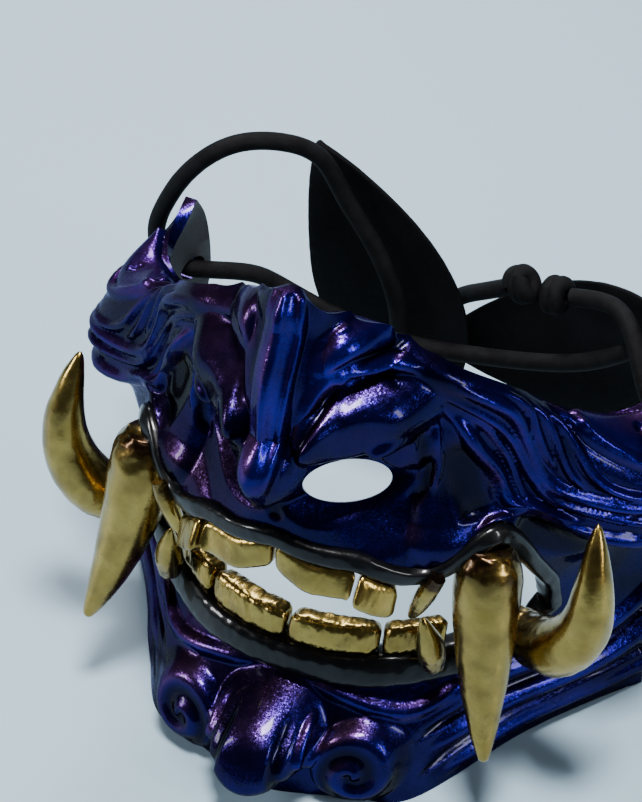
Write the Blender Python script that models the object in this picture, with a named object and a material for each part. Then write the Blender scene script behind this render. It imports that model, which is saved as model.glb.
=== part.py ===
"""Oni half mask: a cast shell from nose crest to chin, with black lips, gold teeth, fangs and tusks,
and a head harness of one cord, tied in a double knot over two leather pads.

The frame has +X to the wearer's left, -Y to the front and +Z up. The mask stands on its chin and jaw."""

import bmesh
import bpy
import numpy as np
from mathutils import Matrix, Vector

MM = 0.001

# Driving sizes of the shell
HALF_WIDTH = 80 * MM
DEPTH = 100 * MM
HEIGHT = 168 * MM
WALL = 3.4 * MM
# The middle of the mask from front to back, behind the upper lip; the origin is set there
MIDDLE = 38.9 * MM
# The clearance that every seated piece keeps to its seat
GAP = 0.3 * MM
# Corners nearer than this are one corner
MERGE = 0.02 * MM

# Stations run from the face's centre to the ear, levels from the top edge down to the floor
STATIONS = ("centre", "nose side", "nostril", "canine", "big fang", "mouth corner", "flare", "ear")
LEVELS = ("top edge", "brow", "cheekbone", "flare edge", "upper lip", "lower lip", "fold", "jaw", "foot")
# A row for each level and a column for each station, as shares of HALF_WIDTH
ACROSS = (
    (0, 0.106, 0.25, 0.414, 0.59, 0.71, 0.875, 0.925),
    (0, 0.138, 0.28, 0.457, 0.66, 0.84, 0.98, 0.92),
    (0, 0.15, 0.295, 0.462, 0.692, 0.94, 1.06, 0.91),
    (0, 0.15, 0.305, 0.48, 0.66, 0.86, 1.05, 0.93),
    (0, 0.15, 0.30, 0.475, 0.61, 0.75, 0.875, 0.94),
    (0, 0.15, 0.30, 0.45, 0.60, 0.74, 0.86, 0.94),
    (0, 0.16, 0.325, 0.49, 0.64, 0.765, 0.90, 0.975),
    (0, 0.16, 0.34, 0.50, 0.65, 0.80, 0.925, 1.01),
    (0, 0.16, 0.35, 0.51, 0.675, 0.81, 0.94, 1.025),
)
# The same places as shares of DEPTH, behind the upper lip
BACK = (
    (0.10, 0.144, 0.31, 0.31, 0.42, 0.62, 0.76, 0.95),
    (0.07, 0.13, 0.22, 0.27, 0.42, 0.57, 0.72, 1.0),
    (0.06, 0.11, 0.22, 0.30, 0.41, 0.52, 0.68, 1.02),
    (0.03, 0.08, 0.17, 0.24, 0.35, 0.46, 0.60, 1.0),
    (0, 0.01, 0.07, 0.17, 0.26, 0.40, 0.58, 0.84),
    (0.02, 0.03, 0.08, 0.18, 0.30, 0.42, 0.60, 0.82),
    (0.04, 0.05, 0.09, 0.19, 0.32, 0.45, 0.60, 0.76),
    (-0.05, -0.04, -0.01, 0.09, 0.27, 0.43, 0.57, 0.70),
    (-0.12, -0.09, -0.04, 0.03, 0.28, 0.46, 0.60, 0.68),
)
# The same places as shares of HEIGHT, above the floor
UP = (
    (0.98, 0.949, 0.86, 0.817, 0.74, 0.613, 0.585, 0.615),
    (0.90, 0.882, 0.823, 0.779, 0.696, 0.61, 0.565, 0.57),
    (0.78, 0.755, 0.693, 0.651, 0.612, 0.55, 0.505, 0.49),
    (0.643, 0.618, 0.569, 0.539, 0.536, 0.476, 0.429, 0.381),
    (0.50, 0.482, 0.47, 0.44, 0.506, 0.417, 0.369, 0.345),
    (0.286, 0.286, 0.286, 0.28, 0.28, 0.298, 0.286, 0.274),
    (0.196, 0.196, 0.196, 0.196, 0.196, 0.20, 0.20, 0.20),
    (0.107, 0.107, 0.107, 0.107, 0.107, 0.107, 0.107, 0.107),
    (0, 0, 0, 0, 0, 0, 0, 0),
)
EAR = len(STATIONS) - 1
FOOT = len(LEVELS) - 1


def bends(rows):
    """Second derivatives of the natural cubic curve through rows, one unit apart."""
    count = len(rows)
    matrix = np.zeros((count, count))
    matrix[0, 0] = matrix[-1, -1] = 1
    right = np.zeros_like(rows)
    for i in range(1, count - 1):
        matrix[i, i - 1 : i + 2] = 1, 4, 1
        right[i] = 6 * (rows[i - 1] - 2 * rows[i] + rows[i + 1])
    return np.linalg.solve(matrix, right.reshape(count, -1)).reshape(rows.shape)


def curve_at(rows, at):
    """Points of the smooth curve through rows, at the given row numbers, fractions included."""
    rows = np.asarray(rows, float)
    bend = bends(rows)
    at = np.clip(at, 0, len(rows) - 1)
    i = np.minimum(at.astype(int), len(rows) - 2)
    t = (at - i).reshape((-1,) + (1,) * (rows.ndim - 1))
    s = 1 - t
    return s * rows[i] + t * rows[i + 1] + ((s**3 - s) * bend[i] + (t**3 - t) * bend[i + 1]) / 6


def base(station, level):
    """The shell's smooth form: points at flat arrays of station (-EAR to EAR) and level (0 to FOOT)."""
    half = np.stack(
        [np.array(ACROSS) * HALF_WIDTH, np.array(BACK) * DEPTH, np.array(UP) * HEIGHT], -1
    )
    whole = np.concatenate([half[:, :0:-1] * [-1, 1, 1], half], 1)
    columns = curve_at(np.swapaxes(whole, 0, 1), station + EAR)
    rows = np.swapaxes(columns, 0, 1)
    bend = bends(rows)
    level = np.clip(level, 0, FOOT)
    i = np.minimum(level.astype(int), FOOT - 1)
    t = (level - i)[:, None]
    s = 1 - t
    k = np.arange(len(level))
    return s * rows[i, k] + t * rows[i + 1, k] + ((s**3 - s) * bend[i, k] + (t**3 - t) * bend[i + 1, k]) / 6


# The hollow behind a swell has sides no steeper than this
HOLLOW_EDGE = 1.2
# Big swells of the form; the last column says whether the hollow behind follows the swell
SWELLS = (
    # name, station, level, half width and half height and forward (shares of HALF_WIDTH, HEIGHT,
    # DEPTH), edge, hollow
    ("nose ridge", 0, 2.15, 0.210, 0.170, 0.075, 1.0, 1),
    ("nose tip", 0, 2.80, 0.180, 0.085, 0.085, 1.2, 1),
    ("nose wing", 1.72, 1.68, 0.185, 0.062, 0.125, 1.3, 1),
    ("wing side", 2.30, 2.02, 0.095, 0.062, 0.060, 1.2, 1),
    ("nostril recess", 1.15, 3.00, 0.190, 0.060, -0.060, 1.2, 1),
    ("crest curl", 1.60, 0.55, 0.100, 0.060, 0.040, 1.2, 0),
    ("chin ball", 0, 6.95, 0.215, 0.082, 0.190, 1.3, 1),
    ("chin swirl", 1.90, 7.28, 0.165, 0.078, 0.050, 2.5, 0),
    ("cheek", 3.05, 2.45, 0.125, 0.140, 0.045, 1.2, 1),
    ("lip bow", 2.75, 3.55, 0.200, 0.050, 0.025, 1.2, 0),
)
# Cast lines: a raised rib, or a cut where the height is negative; sizes are shares of WALL
LINES = (
    # name, height, half width, ends that fade, then station and level of each place
    ("crest", 1.10, 2.30, "last", ((0.0, 0.0), (0.0, 0.9), (0.0, 1.8), (0.0, 2.8))),
    ("crest line", 0.22, 0.35, "last", ((0.0, 0.0), (0.0, 0.9), (0.0, 1.8), (0.0, 2.5))),
    ("crest side", 0.25, 0.40, "last", ((0.40, 0.05), (0.34, 0.9), (0.30, 1.8), (0.26, 2.6))),
    ("crest cut", -0.25, 0.40, "last", ((0.18, 0.0), (0.16, 0.9), (0.15, 1.8), (0.13, 2.7))),
    ("crest foot", -0.45, 0.70, "last", ((0.66, 0.0), (0.62, 0.8), (0.56, 1.6), (0.50, 2.4))),
    ("curl ridge", 0.75, 1.40, "first", ((0.80, 1.45), (1.15, 1.0), (1.55, 0.62), (1.90, 0.0))),
    ("curl cut", -0.50, 0.75, "both", ((0.75, 1.75), (1.10, 1.25), (1.55, 0.90), (2.05, 0.72), (2.3, 0.3))),
    ("fine ridge", 0.22, 0.40, "both", ((0.60, 1.10), (0.90, 0.82), (1.20, 0.48), (1.35, 0.2))),
    ("brow fold", 0.45, 0.55, "both", ((0.55, 2.05), (0.85, 1.50), (1.30, 1.14), (1.80, 0.94),
                                  (2.30, 0.80))),
    ("brow cut", -0.40, 0.45, "both", ((0.62, 2.15), (0.95, 1.66), (1.35, 1.30), (1.80, 1.10),
                                  (2.35, 0.98))),
    ("wing fold", 0.70, 1.20, "both", ((0.70, 2.20), (1.0, 1.78), (1.40, 1.42), (1.85, 1.24),
                                  (2.45, 1.12), (3.1, 1.15))),
    ("wing cut", -0.40, 0.60, "both", ((0.60, 2.60), (0.90, 2.15), (1.25, 1.70), (1.70, 1.42),
                                  (2.15, 1.38), (2.45, 1.6))),
    ("wing groove", -0.25, 0.70, "both", ((2.50, 1.55), (2.66, 2.0), (2.60, 2.5), (2.25, 2.95))),
    ("wing rim", 0.30, 0.45, "both", ((2.62, 1.45), (2.84, 2.0), (2.76, 2.55))),
    ("philtrum", -0.35, 0.90, "both", ((0.0, 3.15), (0.0, 3.7))),
    ("cheek valley", -0.40, 1.70, "both", ((3.25, 1.55), (3.50, 2.1), (3.72, 2.7), (3.95, 3.3))),
    ("flare roll", 0.90, 1.40, "first", ((4.0, 2.90), (4.5, 3.08), (5.2, 3.06), (6.1, 3.02), (6.9, 3.02))),
    ("flare recess", -0.60, 1.70, "both", ((4.2, 3.42), (4.7, 3.56), (5.4, 3.56), (6.3, 3.50))),
    ("under lip", 0.50, 0.90, "both", ((0.45, 6.12), (1.2, 6.20), (2.0, 6.38), (2.75, 6.50),
                                  (3.3, 6.34), (3.9, 6.2))),
    ("jaw wave", 0.50, 1.10, "first", ((2.95, 6.85), (3.5, 6.55), (4.2, 6.42), (5.2, 6.40),
                                  (6.0, 6.30), (6.9, 6.2))),
    ("jaw cut", -0.45, 0.60, "first", ((2.80, 7.00), (3.3, 6.86), (4.0, 6.76), (5.0, 6.74),
                                  (6.0, 6.66), (6.9, 6.5))),
    ("low wave", 0.50, 1.10, "first", ((3.00, 7.30), (3.6, 7.14), (4.4, 7.04), (5.2, 7.02),
                                  (6.0, 6.98), (6.9, 6.9))),
    ("low cut", -0.45, 0.60, "first", ((2.95, 7.70), (3.4, 7.48), (4.2, 7.34), (5.1, 7.30),
                                  (6.0, 7.28), (6.9, 7.25))),
    ("edge wave", 0.45, 1.00, "first", ((3.2, 7.85), (3.9, 7.68), (4.8, 7.62), (5.6, 7.62), (6.9, 7.6))),
    ("chin cut", -0.50, 0.80, "both", ((0.62, 6.35), (0.70, 6.85), (0.80, 7.5))),
    ("chin ridge", 0.50, 0.60, "both", ((0.95, 6.45), (0.98, 6.8), (1.02, 7.1))),
)
# Parallel waves over the cheek, spread evenly from an upper path to a lower one
WAVE_TOP = ((2.30, 0.62), (3.0, 0.66), (3.75, 0.80), (4.25, 1.10), (4.75, 1.45), (5.5, 1.50),
    (6.3, 1.45), (6.9, 1.5))
WAVE_FOOT = ((2.45, 1.35), (2.95, 1.55), (3.45, 2.15), (3.80, 2.60), (4.35, 2.70), (5.2, 2.66),
    (6.1, 2.60), (6.9, 2.62))
WAVES = 5
WAVE_HEIGHT = 0.62
WAVE_HALF_WIDTH = 0.80
# The raised drop in front of each ear, with its dimple
DROP = ((4.75, 0.75), (5.35, 0.82), (5.95, 0.72), (6.45, 0.40))
DROP_HEIGHT = 0.50
DROP_HALF_WIDTH = 2.3
DIMPLE_AT = (5.6, 0.82)
DIMPLE_RADIUS = 2.3 * MM
DIMPLE_DEPTH = 1.4 * MM
# The spiral on each side of the chin
SWIRL_AT = (1.90, 7.28)
SWIRL_RADIUS = 12.5 * MM
SWIRL_HEIGHT = 1.5 * MM
SWIRL_TURNS = 1.6
PATH_STEPS = 20
EDGE_STEP = 0.06

# The mouth's upper and lower edge: a level at each fifth of the way from the centre to the mouth corner
MOUTH_TOP = (3.77, 3.77, 3.77, 3.78, 3.66, 4.45)
MOUTH_FOOT = (5.93, 5.93, 5.93, 5.93, 5.80, 5.20)
# The corner's station; the count of columns is a multiple of 8, so that one column ends on it
CORNER = 0.75 * 7
COLUMNS = 80
ROWS = (24, 6, 18)
SHELL_TRIANGLES = 5600
# Nostrils and the cord's holes in the ears
NOSTRIL_AT = (0.19 * HALF_WIDTH, 0.12 * DEPTH, 0.62 * HEIGHT)
NOSTRIL_HALF = (11.5 * MM, 5.5 * MM)
NOSTRIL_TILT = 28
NOSTRIL_AXIS = (0.31, -0.65, 0.695)
EAR_HOLE_AT = (0.95 * HALF_WIDTH, 0.95 * DEPTH, 0.458 * HEIGHT)
EAR_HOLE_CLEARANCE = 1.3 * MM

# Lips: the way along the mouth's edge, and the half height there. The way is 0 at the centre of the top
# edge, 1 at its corner, 2 at the foot edge's corner and 3 at its centre.
UPPER_LIP = ((0, 3.0 * MM), (0.62, 3.0 * MM), (0.78, 3.6 * MM), (0.95, 2.6 * MM), (1.3, 2.0 * MM),
    (2.1, 2.4 * MM))
LOWER_LIP = ((2.12, 3.4 * MM), (2.3, 4.6 * MM), (2.5, 5.2 * MM), (3, 5.2 * MM))
# How far each lip bites into the wall's edge, which is cut back round it
LIP_BITE = 0.9 * MM
UPPER_LIP_DEPTH = 4.0 * MM
LOWER_LIP_DEPTH = 5.6 * MM


def mirrored(station):
    return (station,) if station == 0 else (station, -station)


def place_of(station, level):
    return base(np.array([float(station)]), np.array([float(level)]))[0]


def form(station, level, hollow=False):
    """The base with its big swells, or with only those that the hollow behind follows."""
    points = base(station, level)
    moved = points.copy()
    for _, at, height, across, up, forward, edge, follows in SWELLS:
        if hollow and not follows:
            continue
        for side in mirrored(at):
            middle = place_of(side, height)
            x = (points[:, 0] - middle[0]) / (across * HALF_WIDTH)
            z = (points[:, 2] - middle[2]) / (up * HEIGHT)
            steep = min(edge, HOLLOW_EDGE) if hollow else edge
            share = np.clip(1 - (x * x + z * z) ** steep, 0, 1)
            moved[:, 1] -= forward * DEPTH * share * share * (3 - 2 * share)
    return moved


def outward(station, level, hollow=False):
    """Unit normals of the form, away from the face."""
    s, v = np.clip(station, -EAR + EDGE_STEP, EAR - EDGE_STEP), np.clip(level, EDGE_STEP, FOOT - EDGE_STEP)
    run = form(s + EDGE_STEP, v, hollow) - form(s - EDGE_STEP, v, hollow)
    drop = form(s, v + EDGE_STEP, hollow) - form(s, v - EDGE_STEP, hollow)
    normal = np.cross(drop, run)
    return normal / np.linalg.norm(normal, axis=1, keepdims=True)


def path_on_form(path):
    """A smooth path on the form, from its places in station and level."""
    path = np.array(path, float)
    places = curve_at(path, np.linspace(0, len(path) - 1, PATH_STEPS))
    return form(places[:, 0], places[:, 1])


def along(points, path):
    """Distance from each point to the path, and the share of the path at its nearest place."""
    best = np.full(len(points), np.inf)
    share = np.zeros(len(points))
    steps = len(path) - 1
    for i in range(steps):
        run = path[i + 1] - path[i]
        t = np.clip((points - path[i]) @ run / max(run @ run, 1e-12), 0, 1)
        far = np.linalg.norm(points - path[i] - t[:, None] * run, axis=1)
        nearer = far < best
        best[nearer] = far[nearer]
        share[nearer] = (i + t[nearer]) / steps
    return best, share


def rib(points, path, height, half_width, fades):
    """A round rib over the path, which fades out at the named ends."""
    far, share = along(points, path)
    start = share if fades in ("first", "both") else 1
    end = 1 - share if fades in ("last", "both") else 1
    fade = np.clip(np.minimum(start, end) / 0.18, 0, 1)
    width = half_width * (0.6 + 0.4 * fade)
    return height * fade * np.clip(1 - (far / width) ** 2, 0, 1) ** 1.5


def spiral(points):
    """The chin's spiral rib."""
    centre = form(np.array([SWIRL_AT[0]]), np.array([SWIRL_AT[1]]))[0]
    x, z = points[:, 0] - centre[0], points[:, 2] - centre[2]
    share = np.hypot(x, z) / SWIRL_RADIUS
    wave = np.cos(np.arctan2(z, x) - 2 * np.pi * SWIRL_TURNS * share)
    near = np.linalg.norm(points - centre, axis=1) < 2 * SWIRL_RADIUS
    return SWIRL_HEIGHT * 0.5 * wave * np.clip((1.08 - share) / 0.2, 0, 1) * near


def relief(points):
    """Height of the cast relief over the form."""
    sided = np.stack([np.abs(points[:, 0]), points[:, 1], points[:, 2]], -1)
    total = spiral(sided)
    for _, height, half_width, fades, path in LINES:
        total += rib(sided, path_on_form(path), height * WALL, half_width * WALL, fades)
    top, foot = np.array(WAVE_TOP), np.array(WAVE_FOOT)
    for i in range(WAVES):
        path = path_on_form(top + (foot - top) * i / (WAVES - 1))
        total += rib(sided, path, WAVE_HEIGHT * WALL, WAVE_HALF_WIDTH * WALL, "first")
    far, share = along(sided, path_on_form(DROP))
    width = DROP_HALF_WIDTH * WALL * np.sin(np.pi * np.clip(0.18 + 0.8 * share, 0, 1))
    total += DROP_HEIGHT * WALL * np.clip(1 - (far / np.maximum(width, 1e-5)) ** 6, 0, 1)
    dimple = form(np.array([DIMPLE_AT[0]]), np.array([DIMPLE_AT[1]]))[0]
    far = np.linalg.norm(sided - dimple, axis=1)
    return total - DIMPLE_DEPTH * np.clip(1 - (far / DIMPLE_RADIUS) ** 2, 0, 1)


def outer_wall(station, level):
    points = form(station, level)
    return points + outward(station, level) * relief(points)[:, None]


def inner_wall(station, level):
    return form(station, level, True) - outward(station, level, True) * WALL


def mouth_levels(station):
    """Levels of the mouth's upper and lower edge at each station."""
    at = np.clip(np.abs(station) / CORNER, 0, 1) * (len(MOUTH_TOP) - 1)
    return curve_at(np.array(MOUTH_TOP), at), curve_at(np.array(MOUTH_FOOT), at)


def grid_places(columns, rows):
    """Station and level of each grid point, with a row along both edges of the mouth."""
    station = np.linspace(-EAR, EAR, columns + 1)
    top, foot = mouth_levels(station)
    bands = []
    for (low, high), count in zip(((0 * top, top), (top, foot), (foot, 0 * foot + FOOT)), rows):
        share = np.arange(count)[:, None] / count
        bands.append(low + (high - low) * share)
    level = np.concatenate(bands + [np.full((1, columns + 1), float(FOOT))])
    return np.broadcast_to(station, level.shape), level


def wall_sheet(mesh, points, columns, rows):
    """One wall as a grid with the mouth left out; returns its corners by column and row."""
    made = bmesh.ops.create_grid(mesh, x_segments=columns, y_segments=sum(rows), size=1)["verts"]
    place = {v: (round((v.co.x + 1) / 2 * columns), round((1 - v.co.y) / 2 * sum(rows))) for v in made}
    gone = []
    for face in {face for vert in made for face in vert.link_faces}:
        column = min(place[vert][0] for vert in face.verts)
        row = min(place[vert][1] for vert in face.verts)
        middle = abs((column + 0.5) / columns * 2 * EAR - EAR)
        if middle < CORNER and rows[0] <= row < rows[0] + rows[1]:
            gone.append(face)
    for vert, (column, row) in place.items():
        vert.co = points[row * (columns + 1) + column]
    at = {spot: vert for vert, spot in place.items()}
    bmesh.ops.delete(mesh, geom=gone, context="FACES")
    return at


def shell_mesh(columns, rows):
    """The closed shell: outer wall, inner wall, and the faces between them at the rim and the mouth."""
    station, level = (grid.ravel() for grid in grid_places(columns, rows))
    outer, inner = outer_wall(station, level), inner_wall(station, level)
    for wall in (outer, inner):
        wall[:, 2] = np.where(level >= FOOT, 0, np.maximum(wall[:, 2], GAP))
    mesh = bmesh.new()
    outer_at = wall_sheet(mesh, outer, columns, rows)
    spots = {vert: spot for spot, vert in outer_at.items() if vert.is_valid}
    rim = [tuple(spots[vert] for vert in edge.verts) for edge in mesh.edges if edge.is_boundary]
    inner_at = wall_sheet(mesh, inner, columns, rows)
    for a, b in rim:
        mesh.faces.new((outer_at[a], outer_at[b], inner_at[b], inner_at[a]))
    bmesh.ops.recalc_face_normals(mesh, faces=mesh.faces)
    return mesh


def edge_place(way):
    """Station and level on the mouth's edge, at each way round its right half."""
    station = CORNER * np.clip(np.where(way < 1.5, way, 3 - way), 0, 1)
    top, foot = mouth_levels(station)
    down = np.clip(way - 1, 0, 1)
    return station, top + (foot - top) * down


def edge_frame(way, distance):
    """Points in the mouth at a distance from its edge, with unit vectors into the mouth and outward."""
    def mid_wall(way):
        station, level = edge_place(np.clip(way, 0, 3))
        return form(station, level) - outward(station, level) * WALL / 2

    flip = np.where(way < 0, -1, 1)[:, None] * [1, 0, 0] + [0, 1, 1]
    side = np.abs(way)
    run = mid_wall(side + 0.01) - mid_wall(side - 0.01)
    normal = outward(*edge_place(side))
    inward = np.cross(run, normal)
    inward /= np.linalg.norm(inward, axis=1, keepdims=True)
    points = mid_wall(side) + inward * np.asarray(distance)[:, None]
    return points * flip, inward * flip, normal * flip


def eased(rows, times):
    """The rows with their kinks rounded off, ends kept."""
    rows = rows.copy()
    for _ in range(times):
        rows[1:-1] = rows[:-2] / 4 + rows[1:-1] / 2 + rows[2:] / 4
    return rows


def new_object(name, mesh, material, helper=False):
    data = bpy.data.meshes.new(name)
    mesh.to_mesh(data)
    mesh.free()
    made = bpy.data.objects.new(name, data)
    bpy.context.scene.collection.objects.link(made)
    if material:
        data.materials.append(material)
    if helper:
        made.hide_render = True
        made.display_type = "WIRE"
    return made


def tube(name, centres, across, depth, half_across, half_depth, material, ring=10, power=2.0, helper=False):
    """A closed solid swept through sections: rounded blocks where power is over 2."""
    angle = np.linspace(0, 2 * np.pi, ring + 1)
    out, up = (np.sign(wave) * np.abs(wave) ** (2 / power) for wave in (np.cos(angle), np.sin(angle)))
    points = centres[:, None] + (
        across[:, None] * (half_across[:, None] * out)[..., None]
        + depth[:, None] * (half_depth[:, None] * up)[..., None]
    )
    mesh = bmesh.new()
    made = bmesh.ops.create_grid(mesh, x_segments=ring, y_segments=len(centres) - 1, size=1)["verts"]
    for vert in made:
        column, row = (vert.co.x + 1) / 2 * ring, (1 - vert.co.y) / 2 * (len(centres) - 1)
        vert.co = points[round(row), round(column) % ring]
    bmesh.ops.remove_doubles(mesh, verts=mesh.verts, dist=1e-7)
    bmesh.ops.holes_fill(mesh, edges=[edge for edge in mesh.edges if edge.is_boundary], sides=0)
    bmesh.ops.recalc_face_normals(mesh, faces=mesh.faces)
    return new_object(name, mesh, material, helper)


def carve(piece, cutters, ratio=1.0):
    """Cut the cutters out of the piece, thin its mesh, and keep its largest body."""
    for cutter in cutters:
        cut = piece.modifiers.new("cut", "BOOLEAN")
        cut.operation, cut.solver, cut.object = "DIFFERENCE", "EXACT", cutter
    if ratio < 1:
        thin = piece.modifiers.new("thin", "DECIMATE")
        thin.ratio = ratio
        thin.use_collapse_triangulate = True
    graph = bpy.context.evaluated_depsgraph_get()
    data = bpy.data.meshes.new_from_object(piece.evaluated_get(graph))
    piece.modifiers.clear()
    piece.data = data
    mesh = bmesh.new()
    mesh.from_mesh(data)
    left, largest = set(mesh.verts), []
    while left:
        body = [left.pop()]
        for vert in body:
            near = [edge.other_vert(vert) for edge in vert.link_edges]
            body += [other for other in near if other in left]
            left -= set(near)
        largest = max(largest, body, key=len)
    bmesh.ops.delete(mesh, geom=list(set(mesh.verts) - set(largest)), context="VERTS")
    for vert in mesh.verts:
        if vert.co.z < GAP / 2:
            vert.co.z = 0
    bmesh.ops.remove_doubles(mesh, verts=mesh.verts, dist=MERGE)
    bmesh.ops.dissolve_degenerate(mesh, edges=mesh.edges, dist=MERGE)
    bmesh.ops.triangulate(mesh, faces=mesh.faces)
    mesh.to_mesh(data)
    mesh.free()


def rod(name, middle, axis, half, tilt, length, material=None):
    """An elliptical bar along an axis, as a cutter."""
    axis = Vector(axis).normalized()
    side = Vector((np.cos(np.radians(tilt)), 0, np.sin(np.radians(tilt))))
    side = (side - axis * side.dot(axis)).normalized()
    other = axis.cross(side)
    ends = np.array([Vector(middle) - axis * length / 2, Vector(middle) + axis * length / 2])
    two = np.ones((2, 1))
    return tube(
        name, ends, two * np.array(side), two * np.array(other), two[:, 0] * half[0], two[:, 0] * half[1],
        material, 20, 2.0, True,
    )


# Harness cord, pads and knot, in the mask's frame
CORD_RADIUS = 2.6 * MM
# One cord from knot to knot: x, y, z of each place it passes
CORD_ROUTE = tuple((x * MM, y * MM, z * MM) for x, y, z in (
    (15.9, 120.3, 83.3), (6, 123.5, 75), (-4, 127.5, 65), (-13, 129, 50), (-14, 131, 32), (-10, 131.5, 16),
    (-8, 126, 8), (-10, 120, 15), (-15, 117.5, 32), (-17.5, 117.5, 50), (-18, 117, 66), (-25, 117, 85),
    (-34.5, 117, 100), (-41, 115.5, 113), (-50, 110, 120), (-62, 102, 121), (-73, 97, 112),
    (-80, 95.5, 100),
    (-84, 95, 88), (-82, 95, 79), (-76, 95, 77), (-70, 95.5, 77), (-58, 101.5, 75.5), (-47, 107, 68),
    (-20, 109, 60), (10, 111, 62), (40, 110, 72), (58, 108.5, 86), (70, 108.5, 94), (80, 106, 94),
    (86, 98, 88), (83, 95, 79), (76, 95, 77), (70, 95.5, 77.5), (63, 101, 83), (54, 111, 91.5),
    (44, 118, 90), (34.4, 119.3, 87.0),
))
CORD_POINTS = 76
# Each lump of the knot, as a share of the cord's radius
KNOT = 1.9
PAD_THICK = 2.0 * MM
# Pads behind the cord: places of the cord before the middle line in millimetres, half width, direction
# across
PADS = (
    ("leather_pad_left", ((-45, 117.1, 114), (-28, 117.6, 79), (-18, 118.6, 48), (-8, 122.1, 13.5)),
     24, (0.9, 0.0, 0.44)),
    ("leather_pad_right", ((82, 102.6, 86), (60, 116.6, 72), (28, 124.6, 57), (-12, 129.6, 40)),
     24, (-0.3, 0.1, 0.95)),
)

# Fangs and tusks, root first: across, back and up (shares of HALF_WIDTH, DEPTH, HEIGHT), radius (share)
FANGS = (
    ("big_fang", 8.8 * MM, (
        (0.625, 0.250, 0.494, 0.66),
        (0.629, 0.235, 0.458, 1.00),
        (0.644, 0.200, 0.381, 1.00),
        (0.681, 0.130, 0.274, 0.75),
        (0.731, 0.050, 0.185, 0.34),
        (0.750, 0.020, 0.158, 0.11),
    )),
    ("tusk", 8.2 * MM, (
        (0.669, 0.350, 0.277, 0.61),
        (0.750, 0.315, 0.280, 0.86),
        (0.863, 0.275, 0.304, 1.00),
        (0.950, 0.265, 0.369, 0.89),
        (0.969, 0.280, 0.452, 0.66),
        (0.950, 0.320, 0.524, 0.35),
        (0.938, 0.345, 0.560, 0.09),
    )),
    ("upper_small_fang", 2.7 * MM, (
        (0.506, 0.130, 0.470, 0.81),
        (0.475, 0.125, 0.435, 1.00),
        (0.438, 0.125, 0.387, 0.74),
        (0.412, 0.130, 0.357, 0.22),
    )),
    ("lower_small_fang", 3.9 * MM, (
        (0.494, 0.145, 0.256, 0.82),
        (0.487, 0.135, 0.298, 1.00),
        (0.475, 0.125, 0.339, 0.67),
        (0.463, 0.120, 0.375, 0.15),
    )),
)
FANG_SECTIONS = 12
# Teeth blocks: row, stations of both ends, distance of the middle line from the mouth's edge, half
# height, half depth
TEETH = (
    ("upper_front_teeth", 0.06, 1.80, 9.4 * MM, 4.7 * MM, 3.0 * MM),
    ("upper_side_teeth", 1.92, 2.50, 9.4 * MM, 4.7 * MM, 2.8 * MM),
    ("lower_front_teeth", 0.06, 1.86, 13.6 * MM, 4.6 * MM, 3.8 * MM),
    ("lower_side_teeth", 1.98, 3.02, 13.4 * MM, 4.5 * MM, 3.6 * MM),
)
TEETH_SECTIONS = 10

# Materials: base colour, metallic, roughness
FINISHES = {
    "shell": ((0.035, 0.035, 0.30), 0.6, 0.25),
    "lips": ((0.01, 0.01, 0.012), 0.0, 0.2),
    "gold": ((0.62, 0.47, 0.22), 1.0, 0.35),
    "leather": ((0.012, 0.012, 0.016), 0.0, 0.7),
    "cord": ((0.02, 0.02, 0.022), 0.0, 0.85),
}


def finish(name):
    colour, metallic, roughness = FINISHES[name]
    made = bpy.data.materials.new(name)
    made.use_nodes = True
    shader = made.node_tree.nodes["Principled BSDF"]
    shader.inputs["Base Color"].default_value = (*colour, 1)
    shader.inputs["Metallic"].default_value = metallic
    shader.inputs["Roughness"].default_value = roughness
    return made


def lip(name, table, depth, material, grow=0.0, helper=False):
    """A lip bead along the mouth's edge; both lips are whole from side to side."""
    way, half = np.array(table).T
    upper = way[0] == 0
    at = np.linspace(way[0], way[-1], 23)
    at = np.concatenate([-at[:0:-1], at]) if upper else np.concatenate([at, -at[-2::-1]])
    across = np.interp(np.abs(at), way, half)
    points, inward, normal = (eased(rows, 3) for rows in edge_frame(at, across - LIP_BITE))
    return tube(
        name, points, inward, normal, across + grow, np.full(len(at), depth + grow), material, 8, 2.4,
        helper
    )


def sweep_axes(points):
    """Unit vectors across each point of a path, level and upright."""
    run = np.gradient(points, axis=0)
    run /= np.linalg.norm(run, axis=1, keepdims=True)
    across = np.cross(run, [0.3, -0.9, 0.3])
    across /= np.linalg.norm(across, axis=1, keepdims=True)
    return across, np.cross(run, across)


def fang(name, thickest, rows, side, material):
    scale = (side * HALF_WIDTH, DEPTH, HEIGHT, thickest)
    table = curve_at(np.array(rows) * scale, np.linspace(0, len(rows) - 1, FANG_SECTIONS))
    points, radius = table[:, :3], np.maximum(table[:, 3], 0.06 * thickest)
    across, depth = sweep_axes(points)
    return tube(name, points, across, depth, radius, radius, material, 12)


def teeth(name, row, side, material):
    _, start, end, distance, half_height, half_depth = row
    station = np.linspace(start, end, TEETH_SECTIONS)
    way = station / CORNER if name.startswith("upper") else 3 - station / CORNER
    points, inward, normal = (eased(rows, 3) for rows in edge_frame(way, np.zeros(len(way))))
    inward = inward * [0, 1, 1] / np.linalg.norm(inward * [0, 1, 1], axis=1, keepdims=True)
    points = points + inward * distance
    share = np.linspace(-1, 1, TEETH_SECTIONS)
    ends = np.clip((1 - np.abs(share) ** 8) ** 0.25, 0.75, 1)
    flip = [side, 1, 1]
    return tube(
        name, points * flip, inward * flip, normal * flip, half_height * ends, half_depth * ends,
        material, 12, 4.0
    )


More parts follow.
